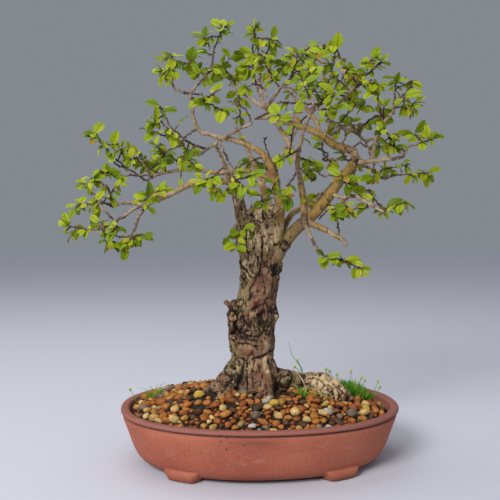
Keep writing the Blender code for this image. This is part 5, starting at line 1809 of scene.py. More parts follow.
# Rounded knobs of callus wood on the trunk's front, in the photograph's pixels: (across, down, radius, rise)
KNOBS = (
    (234, 307, 4.4, 2.0), (240.5, 303, 3.4, 1.6), (233, 318, 4.0, 2.0), (240, 325, 3.8, 1.6), (231.5, 330, 3.6, 1.6),
    (238, 336, 4.0, 1.5), (269, 306, 5.4, 1.5), (273.5, 318, 4.6, 1.8), (268, 330, 4.4, 1.6), (255.5, 331, 3.8, 1.4),
    (248.5, 319, 3.4, 1.2), (250, 339, 4.4, 1.1), (281, 381, 5.0, 1.8), (290, 379, 4.6, 1.8), (298, 380, 4.2, 1.6),
    (231, 371, 5.4, 1.6), (225, 380, 5.0, 1.4), (239, 361, 3.8, 1.0), (274, 270, 5.6, 1.3), (284, 246, 4.2, 1.2),
)


def knob_at(across: float, down: float) -> tuple[float, float]:
    """Return the rise of the knobs at a pixel, and the painted shade in the creases round them there.

    Args:
        across: pixels from the left.
        down: pixels from the top.

    Returns:
        The rise in millimetres, and the painted shade from 0 to 1.
    """
    rise, dark = 0.0, 0.0
    for x, y, radius, height in KNOBS:
        gap = math.hypot(across - x, down - y) / radius
        if gap < 1.8:
            rise += height * max(0.0, 1.0 - gap * gap)
            # Painted shade in the crease round the knob
            dark = max(dark, 0.62 * math.exp(-((gap - 1.05) / 0.2) ** 2))
    return rise, dark


# Under this height all the wood is old trunk and root
FORK_HEIGHT = 100.0
# Wood under this height and further than this from the trunk's middle belongs to a lying root
ROOT_TOP = 84.0
FOOT_REACH = 33.0
TRUNK_MIDDLE = (-9.0, 4.0)
# How many points of a limb are fused with the trunk; the rest is a fine tube
FUSED_LIMBS = {
    "left_fork": 5, "arch": 6, "right": 9, "return": 9, "back": 3, "back_right": 3, "rising": 3,
    "droop": 3, "low_left": 3, "high_left": 2,
}
# Fused limbs whose bark is nearly as old as the trunk's
ROUGH_LIMBS = ("left_fork",)
# Knots where limbs fork or were cut: (across, down, depth, radius)
KNOTS = ((351, 150, -2, 5.0), (356, 161, -9, 5.6), (304, 221, -11, 6.0), (283, 246, -6, 7.4))
# Limbs that are slimmer than their route says, with the share of its radius that they have
SLENDER_LIMBS = {"crossing": 0.5}

# Rounded lumps of the foot and the surface root, in the viewer's frame: (centre, half sizes)
FOOT_LUMPS = (
    ((21, -13, 70), (8.5, 7, 9)), ((33, -9, 69), (7.5, 7, 8)), ((-29, -10, 69), (8, 8, 8)),
    ((-38, -16, 65), (6, 6, 5)), ((55, -8, 72), (9, 6, 6)), ((66, -12, 68), (7, 6, 6)),
    ((6, -19, 72), (7, 6, 11)), ((-9, -18, 72), (6, 6, 12)),
)


@dataclass
class Trunk:
    """The trunk with its burls, surface roots and the limbs' thick beginnings, as one fissured skin."""

    bench: Bench
    bark: Material
    sides: int = 60
    step: float = 2.0
    voxel: float = 0.85
    teeth: int = 16
    shoulders: list[tuple[Vector, float, float]] = field(default_factory=list)

    def build(self) -> Object:
        """Make the trunk.

        Returns:
            The trunk as one piece.
        """
        parts = [self.body(), *self.splinters()]
        for route in (*ROOTS, *FINGER_ROOTS):
            parts.append(self.tube(*VIEWER.turned_route(route)))
        parts += [self.burl(*row) for row in (*BURLS, *FOOT_LUMPS)]
        parts.append(self.stub())
        for name, count in FUSED_LIMBS.items():
            places, radii = smooth_route(*VIEWER.seen_route(LIMBS[name][:count]), self.step)
            parts.append(self.tube(places, radii))
            rough = 0.9 if name in ROUGH_LIMBS else 0.0
            self.shoulders += [(place, radius, rough) for place, radius in zip(places, radii)]
        for *pixel, radius in KNOTS:
            knot = VIEWER.seen(*pixel)
            parts.append(self.tube([knot - Vector((0, 0, 2)), knot + Vector((0, 0, 2))], [radius, radius]))
            self.shoulders.append((knot, radius + 1.5, 0.6))
        trunk = self.fuse(parts)
        self.weather(trunk)
        trunk.data.materials.append(self.bark)
        return trunk

    def centre(self, height: float) -> tuple[Vector, tuple[float, float]]:
        """Return the trunk's middle and half sizes at a height, in the viewer's frame.

        Args:
            height: millimetres over the ground.

        Returns:
            The middle, and half the width and depth.
        """
        rows = [Vector((row[1], row[2], row[3], row[4])) for row in TRUNK]
        heights = [row[0] for row in TRUNK]
        height = min(max(height, heights[0]), heights[-1])
        index = max(i for i, h in enumerate(heights[:-1]) if h <= height)
        share = (height - heights[index]) / (heights[index + 1] - heights[index])
        row = catmull(rows, (index + share) / (len(rows) - 1))
        return Vector((row[0], row[1], height)), (row[2], row[3])

    def body(self) -> Object:
        """Make the trunk's rings, ending in a broken, hollowed top.

        Returns:
            The new object.
        """
        rng = random.Random(5)
        teeth = [rng.uniform(-5.0, 5.0) for _ in range(self.teeth)]
        heights = [TRUNK[0][0] + self.step * i for i in range(int((TRUNK[-1][0] - TRUNK[0][0]) / self.step) + 1)]
        points = []
        for height in heights:
            points += self.ring(height)
        top = self.ring(TRUNK[-1][0])
        for side, point in enumerate(top):
            at = float(self.teeth) * side / self.sides
            near, far = teeth[int(at)], teeth[(int(at) + 1) % self.teeth]
            point.z += near + (far - near) * (at % 1.0)
        points += top
        points += self.ring(TRUNK[-1][0] - 12.0, 0.62)
        return self.bench.mesh_object("trunk_body", points, bridge_rings(len(heights) + 2, self.sides))

    def ring(self, height: float, shrink: float = 1.0) -> list[Vector]:
        """Return one ring of the trunk, with ridges that wander round it as it rises.

        Args:
            height: the ring's height.
            shrink: its share of the trunk's own size.

        Returns:
            The ring's points.
        """
        middle, (wide, deep) = self.centre(height)
        points = []
        for side in range(self.sides):
            angle = math.tau * side / self.sides
            ridge = 1.0
            if height > 62:
                ridge += 0.045 * math.sin(3 * angle + height * 0.05) + 0.03 * math.sin(7 * angle - height * 0.11)
            x = middle.x + wide * ridge * shrink * math.cos(angle)
            y = middle.y + deep * ridge * shrink * math.sin(angle)
            points.append(VIEWER.turned((x, y, height)))
        return points

    def tube(self, places: list[Vector], radii: list[float], sides: int = 14) -> Object:
        """Make a tapering tube with closed ends along a route.

        Args:
            places: the route's points.
            radii: the radius at each.
            sides: points round the tube.

        Returns:
            The new object.
        """
        places, radii = smooth_route(places, radii, self.step)
        points = []
        up = Vector((0.31, 0.22, 0.92))
        for index, place in enumerate(places):
            ahead = places[min(index + 1, len(places) - 1)] - places[max(index - 1, 0)]
            across = ahead.cross(up).normalized()
            other = ahead.normalized().cross(across)
            up = across.cross(ahead.normalized())
            for side in range(sides):
                angle = math.tau * side / sides
                points.append(place + (across * math.cos(angle) + other * math.sin(angle)) * radii[index])
        return self.bench.mesh_object("tube", points, bridge_rings(len(places), sides))

    def burl(self, centre: tuple[float, ...], half_sizes: tuple[float, ...]) -> Object:
        """Make one lump of the trunk.

        Args:
            centre: its middle, in the viewer's frame.
            half_sizes: half its size along each axis.

        Returns:
            The new object.
        """
        build = bmesh.new()
        bmesh.ops.create_icosphere(build, subdivisions=3, radius=1.0)
        points = []
        for vert in build.verts:
            lump = 1.0 + 0.12 * noise.noise(vert.co * 2.5 + Vector(centre))
            offset = Vector([c * h * lump for c, h in zip(vert.co, half_sizes)])
            points.append(VIEWER.turned(Vector(centre) + offset))
        faces = [tuple(v.index for v in face.verts) for face in build.faces]
        build.free()
        return self.bench.mesh_object("burl", points, faces)

    def stub(self) -> Object:
        """Make the sawn stub that sticks out of the left burl."""
        places = [VIEWER.seen(234, 311, -6), VIEWER.seen(229, 305, -8), VIEWER.seen(224.5, 301, -9)]
        return self.tube(places, [3.0, 2.4, 2.6])

    def splinters(self) -> list[Object]:
        """Make the jagged splinters of dead wood round the broken top.

        Returns:
            The splinters.
        """
        rows = (
            (251, 214, 202, -9, 2.6), (256, 212, 199, -8, 1.8), (262, 214, 206, -9, 2.4), (267, 212, 203, -7, 1.9),
            (272, 214, 205, -4, 2.5), (277, 212, 202, 0, 2.2), (275, 214, 206, 9, 2.4), (262, 213, 204, 12, 2.2),
            (253, 214, 205, 9, 2.4),
        )
        made = []
        for across, foot, tip, depth, radius in rows:
            places = [VIEWER.seen(across, foot, depth), VIEWER.seen(across + 0.6, tip, depth)]
            made.append(self.tube(places, [radius, 0.7], 7))
        return made

    def fuse(self, parts: list[Object]) -> Object:
        """Fuse overlapping solids into one even skin.

        Args:
            parts: the solids, which it uses up.

        Returns:
            The fused object.
        """
        build = bmesh.new()
        for part in parts:
            build.from_mesh(part.data)
            bpy.data.objects.remove(part)
        trunk = stand_build("trunk", build)
        grid = trunk.modifiers.new("skin", "REMESH")
        grid.mode, grid.voxel_size = "VOXEL", self.voxel * MM
        soften = trunk.modifiers.new("soften", "SMOOTH")
        soften.factor, soften.iterations = 0.5, 3
        make_plain(trunk)
        for face in trunk.data.polygons:
            face.use_smooth = True
        return trunk

    def weather(self, trunk: Object) -> None:
        """Cut cracks, plates and the seen folds into the skin, and note what the bark's finish needs, with the
        painted shade in its cracks, creases and recesses.

        Args:
            trunk: the fused trunk.
        """
        mesh = trunk.data
        eye = VIEWER.turned(VIEWER.eye)
        tints = (Mark.ROSY, Mark.LICHEN, Mark.BLEACHED, Mark.SCALY)
        notes: dict[str, list[float]] = {"thickness": [], "hollow": [], **{tint.value: [] for tint in tints}}
        moved = []
        for vert in mesh.vertices:
            place = self.bench.point_of(vert)
            old, girth = self.age(place)
            facing = max(0.0, min(1.0, 3.0 * vert.normal.dot((eye - place).normalized())))
            patch = self.patches(place, facing)
            rise, dark = self.cracks(place, old, patch)
            if facing > 0.0 and old > 0.3:
                across, down = VIEWER.pixel(place)
                across += 1.3 * noise.noise(place / 6.0)
                down += 1.3 * noise.noise(place / 6.0 + Vector((9, 0, 0)))
                uneven = 1.0 + 0.8 * noise.noise(place / 5.0 + Vector((0, 5, 0)))
                # crease is the painted shade in the creases round the knobs
                knob, crease = knob_at(across, down)
                rise += knob * facing
                dark = max(dark, crease * facing * uneven)
                for fold in FOLDS:
                    near = fold.nearness(across, down) * facing * uneven
                    rise += fold.rise * near
                    dark = max(dark, fold.dark * near)
            moved.append(vert.co + vert.normal * rise * MM)
            notes["thickness"].append(girth * MM)
            # Painted shade in the cracks, creases and recesses, with the darker patches
            notes["hollow"].append(min(1.0, dark))
            for tint in tints:
                notes[tint.value].append(patch[tint])
        for vert, place in zip(mesh.vertices, moved):
            vert.co = place
        for name, values in notes.items():
            set_attribute(mesh, name, values)
        mesh.update()

    def age(self, place: Vector) -> tuple[float, float]:
        """Return 1 on the old trunk and 0 on a limb, and the wood's radius there.

        Args:
            place: a point of the pot's frame.

        Returns:
            The age, and the radius in millimetres.
        """
        local = Matrix.Rotation(-VIEWER.turn, 3, "Z") @ place
        middle, (wide, deep) = self.centre(place.z)
        from_trunk = math.hypot((local.x - middle.x) / wide, (local.y - middle.y) / deep) - 1.0
        from_trunk *= min(wide, deep)
        if place.z > TRUNK[-1][0]:
            from_trunk += (place.z - TRUNK[-1][0]) * 0.6
        gap, radius, rough = min(((place - p).length - r, r, rough) for p, r, rough in self.shoulders)
        old = max(rough, min(1.0, 0.5 + (gap - from_trunk + 1.0) / 5.0))
        if place.z < FORK_HEIGHT:
            old = 1.0
        return old, radius + (14.0 - radius) * old

    @staticmethod
    def patches(place: Vector, facing: float) -> dict[Mark, float]:
        """Return how strongly each mark shows at a point, also behind, where it drifts.

        Args:
            place: a point of the pot's frame.
            facing: how squarely the skin faces the viewer there.

        Returns:
            The strength of each mark.
        """
        drift = noise.noise(place / 24.0)
        share = {
            Mark.SMOOTH: max(0.0, drift) * (1.0 - facing), Mark.SCALY: max(0.0, -drift) * (1.0 - facing),
            Mark.ROSY: max(0.0, noise.noise(place / 30.0 + Vector((5, 0, 0)))) * 1.3,
            Mark.LICHEN: max(0.0, noise.noise(place / 26.0 + Vector((0, 9, 0)))) * 1.3,
            Mark.BLEACHED: max(0.0, noise.noise(place / 13.0 + Vector((4, 9, 0)))) * 0.7, Mark.SHADE_AND_DARK: 0.0,
        }
        across, down = VIEWER.pixel(place)
        for mark, ovals in PATCHES.items():
            for x, y, half_x, half_y in ovals:
                spread = ((across - x) / half_x) ** 2 + ((down - y) / half_y) ** 2
                share[mark] = max(share[mark], facing * max(0.0, min(1.0, 2.0 - 1.6 * spread)))
        return {mark: min(1.0, value) for mark, value in share.items()}

    @staticmethod
    def cracks(place: Vector, old: float, patch: dict[Mark, float]) -> tuple[float, float]:
        """Return the bark's rise at a point, and the painted shade in its cracks, seams and dips there, with the
        darker patches.

        Args:
            place: a point of the pot's frame.
            old: 1 on the old trunk and 0 on a limb.
            patch: the strength of each mark there.

        Returns:
            The rise in millimetres, and the painted shade with the darker patches.
        """
        bend = Vector((noise.noise(place / 7.0), noise.noise(place / 7.0 + Vector((3, 3, 3))), 0.0)) * 1.6
        lying = place.z < ROOT_TOP and math.hypot(place.x - TRUNK_MIDDLE[0], place.y - TRUNK_MIDDLE[1]) > FOOT_REACH
        wide, deep, tall = (9.0, 3.0, 3.0) if lying else (3.2, 3.2, 11.0)
        fibre = noise.noise(Vector(((place.x + bend.x) / wide, (place.y + bend.y) / deep, place.z / tall)))
        line = max(0.0, 1.0 - abs(fibre) * 5.0)
        plate = (7.0, 3.2, 2.8) if lying else (4.6, 4.6, 7.5)
        cell = Vector([along / across for along, across in zip(place, plate)])
        gaps = noise.voronoi(cell + bend * (0.8 if lying else 0.2))[0]
        seam = max(0.0, 1.0 - (gaps[1] - gaps[0]) * 4.5) * (0.2 if lying else 1.0)
        broad = noise.noise(place / 9.0)
        fine = noise.noise(place / 1.7) * 1.9 if lying else noise.noise(place / 2.2)
        rough = old * (1.0 - 0.8 * patch[Mark.SMOOTH]) * (1.0 + 0.5 * patch[Mark.SCALY])
        rough *= max(0.4, min(1.25, 0.9 + 1.1 * noise.noise(place / 15.0)))
        plain = 1.0 - 0.6 * patch[Mark.SCALY]
        rise = rough * (1.1 * broad - 0.9 * line * plain - 0.5 * seam * plain + 0.35 * fine)
        rise += (1.0 - old) * 0.25 * fine
        # Painted shade in the fibre cracks, the plate seams and the broad dips
        dark = rough * (0.42 * line * plain + 0.2 * seam * plain * plain + 0.22 * max(0.0, -broad) * plain)
        # Adds the darker patches: painted shade in recesses, and a dark ridge
        return rise, dark + patch[Mark.SHADE_AND_DARK] * (0.26 + 0.3 * noise.noise(place / 3.0))


def add_buds(growth: Growth, places: list[Vector], radii: list[float]) -> None:
    """Add the small buds that stand on alternate sides of a thin twig.

    Args:
        growth: the growth that takes them.
        places: the twig's points.
        radii: its radius at each.
    """
    for index in range(2, len(places) - 1, 2):
        if radii[index] > 1.3:
            continue
        ahead = (places[index + 1] - places[index - 1]).normalized()
        side = ahead.cross(Vector((0.2, 1.0, 0.1))).normalized() * (1 if index % 4 else -1)
        reach = radii[index] + 0.9
        growth.path([places[index], places[index] + (side + ahead * 0.5) * reach], [0.62, 0.3])


@dataclass
class Limbs:
    """Every limb and fine twig that the trunk's own skin leaves out."""

    bench: Bench
    rule: GrowthRule

    def build(self) -> Object:
        """Make the limbs.

        Returns:
            The limbs as one piece.
        """
        growth = Growth("limbs")
        for name, route in LIMBS.items():
            start = max(0, FUSED_LIMBS.get(name, 0) - 2)
            if len(route) - start > 2 or start == 0:
                self.add(growth, route[start:], 2.0, SLENDER_LIMBS.get(name, 1.0))
        for route in FINE_TWIGS:
            self.add(growth, route, 1.6, 1.0)
        for route in DRY_SHOOTS:
            self.add(growth, route, 1.6, 1.0, tone=1.0)
        return growth.grow(self.bench, self.rule)

    @staticmethod
    def add(growth: Growth, route: Route, step: float, share: float, tone: float = 0.5) -> None:
        """Add one route, with the slight bends and rings that old buds leave.

        Args:
            growth: the growth that takes it.
            route: the route, in pixels and depth.
            step: spacing of the tube's points.
            share: the share of the route's radius that it has.
            tone: its share along the bark's colours.
        """
        places, radii = smooth_route(*VIEWER.seen_route(route), step)
        slim = [share * radius * (0.92 if radius > 3.5 else 0.82) for radius in radii]
        for index, place in enumerate(places[1:-1], start=1):
            bend = Vector([noise.noise(place / 6.0 + Vector((axis * 5.0, 0, 0))) for axis in range(3)])
            places[index] = place + bend * min(0.9, 0.55 * slim[index] + 0.1)
            if slim[index] < 1.8 and index % 3 == 0:
                slim[index] *= 1.22
        growth.path(places, slim, tone)
        if tone < 0.8 and slim[-1] < 1.3:
            add_buds(growth, places, slim)


# Leafy sprays


class Clearance:
    """Balls along the wood and leaves that are already placed, kept in cells for quick tests."""

    cell: float = 8.0
    reach: float = 6.0

    def __init__(self) -> None:
        self.cells: dict[tuple[int, ...], list[tuple[str, Vector, float]]] = {}

    def add(self, owner: str, place: Vector, radius: float) -> None:
        """Note a ball in each cell from which a tested ball could touch it.

        Args:
            owner: the piece that the ball belongs to.
            place: its middle.
            radius: its radius.
        """
        span = radius + self.reach
        first = [math.floor((c - span) / self.cell) for c in place]
        last = [math.floor((c + span) / self.cell) for c in place]
        for key in itertools.product(*(range(a, b + 1) for a, b in zip(first, last))):
            self.cells.setdefault(key, []).append((owner, place, radius))

    def is_free(self, owners: tuple[str, ...], place: Vector, radius: float) -> bool:
        """Tell whether a ball keeps clear of the balls of all but the given owners.

        Args:
            owners: pieces that it may touch.
            place: its middle.
            radius: its radius.

        Returns:
            Whether it keeps clear.
        """
        key = tuple(math.floor(c / self.cell) for c in place)
        for other, centre, size in self.cells.get(key, ()):
            if other not in owners and (place - centre).length < radius + size:
                return False
        return True

    def all_free(self, owners: tuple[str, ...], balls: Balls, margin: float) -> bool:
        """Tell whether balls keep clear of every piece but the owners'."""
        return all(self.is_free(owners, place, radius + margin) for place, radius in balls)


@dataclass(frozen=True)
class Leaf:
    """One planned leaf: its foot, direction, upper face's direction and length."""

    base: Vector
    direction: Vector
    face: Vector
    length: float

    def balls(self) -> Balls:
        """Return the balls that stand for the leaf."""
        return [(self.base + self.direction * self.length * t, self.length * size) for t, size in LEAF_BALLS]

    def blade(self) -> Balls:
        """Return smaller balls that fill the leaf's flat blade.

        Returns:
            The balls, as (middle, radius).
        """
        side = self.direction.cross(self.face).normalized()
        return [
            (self.base + (self.direction * t + side * s) * self.length, BLADE_BALL_RADIUS * self.length)
            for t, s in BLADE_BALLS
        ]

    def shown(self, rng: random.Random) -> Leaf:
        """Return the leaf with its upper face up and out of the crown, to the front or the back.

        Args:
            rng: the source of chance.

        Returns:
            The turned leaf.
        """
        local = Matrix.Rotation(-VIEWER.turn, 3, "Z") @ self.base
        outward = -1.0 if local.y < 30.0 else 1.0
        face = VIEWER.turned((rng.uniform(-0.6, 0.6), outward * rng.uniform(0.25, 1.0), rng.uniform(0.2, 0.9)))
        return Leaf(self.base, self.direction, face.normalized(), self.length)


@dataclass
class Spray:
    """One planned spray: its twigs as (path, radii), and its leaves."""

    name: str
    twigs: list[tuple[list[Vector], list[float]]]
    leaves: list[Leaf]


def strung_balls(path: list[Vector], radii: list[float], step: float = 2.0) -> Balls:
    """Return balls along a tapering path.

    Args:
        path: the path's points.
        radii: the radius at each.
        step: spacing of the balls.

    Returns:
        The balls, as (middle, radius).
    """
    balls = []
    for index in range(len(path) - 1):
        count = max(1, int((path[index + 1] - path[index]).length / step))
        for part in range(count + 1):
            share = part / count
            place = path[index].lerp(path[index + 1], share)
            balls.append((place, radii[index] + (radii[index + 1] - radii[index]) * share))
    return balls


@dataclass
class SprayPlanner:
    """Plans the sprays where the CAD has them: chance, order and clearances are the same."""

    clearance: Clearance = field(default_factory=Clearance)
    wood: Balls = field(default_factory=list)
    twig_tries: int = 80
    leaf_tries: int = 40

    def __post_init__(self) -> None:
        """Note the balls of the limbs and the trunk."""
        for route in LIMBS.values():
            balls = strung_balls(*VIEWER.seen_route(route), 1.0)
            self.wood += balls[4:]
            for place, radius in balls:
                self.clearance.add("wood", place, radius)
        for height, x, y, wide, deep in TRUNK:
            self.clearance.add("wood", VIEWER.turned((x, y, height)), max(wide, deep) + 1.0)

    def plan_all(self) -> list[Spray]:
        """Plan every spray."""
        return [self.plan(number, targets) for number, targets in enumerate(SPRAYS, start=1)]

    def plan(self, number: int, targets: Route) -> Spray:
        """Plan one spray: a main twig, side twigs and the leaves at their ends.

        Args:
            number: the spray's number.
            targets: the places that its twigs reach.

        Returns:
            The spray.
        """
        rng = random.Random(SPRAY_SEED + number)
        owner = f"spray_{number}"
        places = [VIEWER.seen(*target) for target in targets]
        free = [ball for ball in self.wood if self.clearance.is_free(("wood",), ball[0], TWIG_BASE_RADIUS + 0.8)]
        base, radius = min(free, key=lambda ball: (places[0] - ball[0]).length + 2.0 * ball[1])
        thickness = (min(TWIG_BASE_RADIUS, radius * 0.9), TWIG_TIP_RADIUS)
        main = self.twig(base, places[0], owner, rng, thickness, radius + 2.2)
        spray = Spray(f"leafy_spray_{number:02d}", [main], self.tip_leaves(main[0], LEAVES_AT_TIP[0], owner, rng))
        for place, count in zip(places[1:], LEAVES_AT_TIP[1:]):
            joints = [path[i].lerp(path[i + 1], 0.6) for path, _ in spray.twigs for i in range(len(path) - 1)]
            joint = min(joints, key=lambda j: (j - place).length)
            side = self.twig(joint, place, owner, rng, (TWIG_TIP_RADIUS + 0.1, TWIG_TIP_RADIUS), 0.0)
            if side is not None:
                spray.twigs.append(side)
                spray.leaves += self.tip_leaves(side[0], count, owner, rng)
        balls = [ball for path, radii in spray.twigs for ball in strung_balls(path, radii)]
        balls += [ball for leaf in spray.leaves for ball in leaf.balls()]
        for place, size in balls:
            self.clearance.add(owner, place, size)
        return spray

    def twig(
        self, start: Vector, end: Vector, owner: str, rng: random.Random, radii: tuple[float, float], foot: float
    ) -> tuple[list[Vector], list[float]] | None:
        """Return the first zig-zag path that keeps clear of the other pieces past its foot.

        Args:
            start: where the twig leaves its limb.
            end: where it aims.
            owner: the spray's name in the clearance.
            rng: the spray's source of chance.
            radii: the radius at the foot and the tip.
            foot: the length at the start that may touch the limb.

        Returns:
            The path and its radii, or None.
        """
        for attempt in range(self.twig_tries):
            shift = min(6.0, 0.25 * attempt)
            aim = end + Vector([rng.uniform(-shift, shift) for _ in range(3)])
            path = self.zigzag(start, aim, rng)
            last = len(path) - 1
            sizes = [radii[0] + (radii[1] - radii[0]) * index / last for index in range(last + 1)]
            balls = strung_balls(path, sizes)
            beyond = [ball for ball in balls if (ball[0] - start).length > foot]
            if self.clearance.all_free((owner,), beyond, 0.35):
                if self.clearance.all_free((owner, "wood"), balls, 0.5):
                    return path, sizes
        return None

    @staticmethod
    def zigzag(start: Vector, end: Vector, rng: random.Random) -> list[Vector]:
        """Return a zig-zag path from start to end.

        Args:
            start: where it starts.
            end: where it ends.
            rng: the source of chance.

        Returns:
            The path's points.
        """
        length = (end - start).length
        count = max(1, min(3, int(length / 15)))
        swing = min(2.6, length * 0.07)
        path = [start]
        for step in range(1, count):
            place = start.lerp(end, step / count)
            place = place + Vector([rng.uniform(-swing, swing) for _ in range(3)])
            place.z -= math.sin(math.pi * step / count) * length * 0.05
            path.append(place)
        path.append(end)
        return path

    def tip_leaves(self, path: list[Vector], count: int, owner: str, rng: random.Random) -> list[Leaf]:
        """Return leaves round a twig's end, clear of the other pieces.

        Args:
            path: the twig's points.
            count: how many leaves it gets.
            owner: the spray's name in the clearance.
            rng: the source of chance.

        Returns:
            The leaves that found room.
        """
        leaves: list[Leaf] = []
        heading = (path[-1] - path[-2]).normalized()
        for index in range(count):
            for _ in range(self.leaf_tries):
                length = rng.uniform(*LEAF_LENGTH)
                base = path[-1].lerp(path[-2], min(0.8, 0.28 * index))
                spread = Vector((rng.uniform(-1, 1), rng.uniform(-1, 1), rng.uniform(-0.35, 0.6)))
                direction = (heading * 0.45 + spread).normalized()
                face = Vector((rng.uniform(-0.5, 0.5), rng.uniform(-0.9, 0.3), 1.0)).normalized()
                if abs(direction.dot(face)) > 0.75:
                    continue
                leaf = Leaf(base, direction, face, length)
                near = [place for other in leaves for place, _ in other.balls()]
                apart = all((place - other).length > 0.55 * length for place, _ in leaf.balls() for other in near)
                if apart and self.clearance.all_free((owner,), leaf.balls(), 0.5):
                    leaves.append(Leaf(base - direction * 0.4, direction, face, length))
                    break
        return leaves


@dataclass(frozen=True)
class Carrier:
    """A point of a twig or limb that can bear leaves."""

    owner: str
    place: Vector
    radius: float
    pixel: tuple[float, float]


@dataclass
class Dresser:
    """Turns planned sprays into knobbly twigs with stalked leaves, and adds every further leaf."""

    bench: Bench
    rule: GrowthRule
    clearance: Clearance = field(default_factory=Clearance)
    carriers: list[Carrier] = field(default_factory=list)
    bunches: dict[str, Growth] = field(default_factory=dict)
    extra_leaves: int = 6
    young_length: tuple[float, float] = (7.5, 13.0)
    bunch_length: tuple[float, float] = (8.5, 14.0)
    limb_share: float = 0.85
    twig_share: float = 0.72
    stalk: float = 1.6
    bunch_tries: int = 26
    fill_tries: int = 14

    def note_wood(self) -> None:
        """Note the limbs and fine twigs, as bodies to keep off and as carriers of leaves."""
        for route in (*LIMBS.values(), *FINE_TWIGS):
            path, radii = VIEWER.seen_route(route)
            self.note_path("limb", strung_balls(path, [self.limb_share * r for r in radii], 1.5))
        for height, x, y, wide, deep in TRUNK:
            self.clearance.add("trunk", VIEWER.turned((x, y, height)), max(wide, deep) + 1.0)

    def note_path(self, owner: str, balls: Balls) -> None:
        """Note the balls of a twig or limb.

        Args:
            owner: the spray's name, or limb.
            balls: balls along it.
        """
        for place, radius in balls:
            self.clearance.add("wood", place, radius)
            if radius < 2.2:
                self.carriers.append(Carrier(owner, place, radius, VIEWER.pixel(place)))

    def note(self, spray: Spray) -> None:
        """Note a planned spray, with its leaves turned to be seen.

        Args:
            spray: the planned spray.
        """
        rng = random.Random(spray.name)
        spray.leaves = [leaf.shown(rng) for leaf in spray.leaves]
        for path, radii in spray.twigs:
            self.note_path(spray.name, strung_balls(path, [self.twig_share * r for r in radii], 1.5))
        for leaf in spray.leaves:
            self.note_leaf(leaf)

    def note_leaf(self, leaf: Leaf) -> None:
        """Note a leaf's blade."""
        for place, size in leaf.blade():
            self.clearance.add("leaf", place, size)

    def hang_bunches(self) -> None:
        """Hang the bunches that the photograph shows, each on the twig that is nearest to it there."""
        rng = random.Random(BUNCH_SEED)
        for across, down, count in LEAF_BUNCHES:
            carrier = min(
                self.carriers, key=lambda c: math.hypot(c.pixel[0] - across, c.pixel[1] - down) + 1.5 * c.radius,
            )
            local = Matrix.Rotation(-VIEWER.turn, 3, "Z") @ carrier.place
            for _ in range(6):
                target = VIEWER.seen(across, down, local.y + rng.uniform(-9.0, 5.0))
                if self.clearance.is_free((), target, 1.5):
                    break
            gap = target - carrier.place
            node = carrier.place + gap * max(0.0, 1.0 - 5.5 / max(gap.length, 0.1))
            growth = self.bunches.setdefault(carrier.owner, Growth("limb_leaves"))
            if (node - carrier.place).length > 1.5:
                bend = carrier.place.lerp(node, 0.55) + Vector((rng.uniform(-1, 1), rng.uniform(-1, 1), -0.8))
                places, radii = smooth_route([carrier.place, bend, node], [0.75, 0.62, 0.5], 1.6)
                growth.path(places, radii)
                add_buds(growth, places, radii)
            heading = gap.normalized() if gap.length > 2.0 else Vector((rng.uniform(-1, 1), -0.4, -0.3)).normalized()
            self.fan(growth, node, heading, count, rng)

    def fan(self, growth: Growth, node: Vector, heading: Vector, count: int, rng: random.Random) -> None:
        """Spread a bunch's leaves from its node, the first one ahead and the others to either side.

        Args:
            growth: the growth that takes them.
            node: where the stalks meet.
            heading: the bunch's own direction.
            count: how many leaves it has.
            rng: the bunches' source of chance.
        """
        across = heading.cross(VIEWER.turned((0.0, 1.0, 0.0)))
        across = across.normalized() if across.length > 0.2 else Vector((1, 0, 0))
        for index in range(count):
            for attempt in range(self.bunch_tries):
                aside = 0.0 if index == 0 else (0.7 + 0.45 * (index // 2)) * (-1) ** index
                spread = aside + rng.uniform(-0.35, 0.35)
                direction = heading * math.cos(spread) + across * math.sin(spread)
                hang = Vector((0.0, 0.0, rng.uniform(-0.55, 0.15)))
                direction += hang + VIEWER.turned((0, rng.uniform(-0.5, 0.3), 0))
                length = rng.uniform(*self.bunch_length) * (1.15 if count == 1 else 1.0) * (1.0 - 0.012 * attempt)
                leaf = Leaf(node, direction.normalized(), Vector((0, 0, 1)), length).shown(rng)
                if self.is_open(leaf):
                    self.place(growth, leaf, rng.uniform(0.1, 0.88) if leaf.length > 9.6 else rng.uniform(0.5, 0.97))
                    break

    def is_open(self, leaf: Leaf) -> bool:
        """Tell whether a leaf's blade keeps clear of wood and of other leaves, and is not seen edge-on along it.

        Args:
            leaf: the leaf.

        Returns:
            Whether it may stay.
        """
        if abs(leaf.direction.dot(leaf.face)) > 0.75:
            return False
        return all(self.clearance.is_free((), place, size) for place, size in leaf.blade())

    def place(self, growth: Growth, leaf: Leaf, tone: float) -> None:
        """Add one leaf with its short stalk, and note it.

        Args:
            growth: the growth that takes it.
            leaf: the leaf.
            tone: its share along the leaves' colours.
        """
        self.note_leaf(leaf)
        foot = leaf.base + leaf.direction * self.stalk
        growth.path([leaf.base, foot + leaf.direction * 0.6], [0.42, 0.3])
        size = (leaf.length - self.stalk) * MM
        which = round(7.0 * leaf.length) % len(LEAF_FORMS)
        growth.shape(foot, axes_of(leaf.direction, leaf.face), Vector((size, size, size)), which, tone)

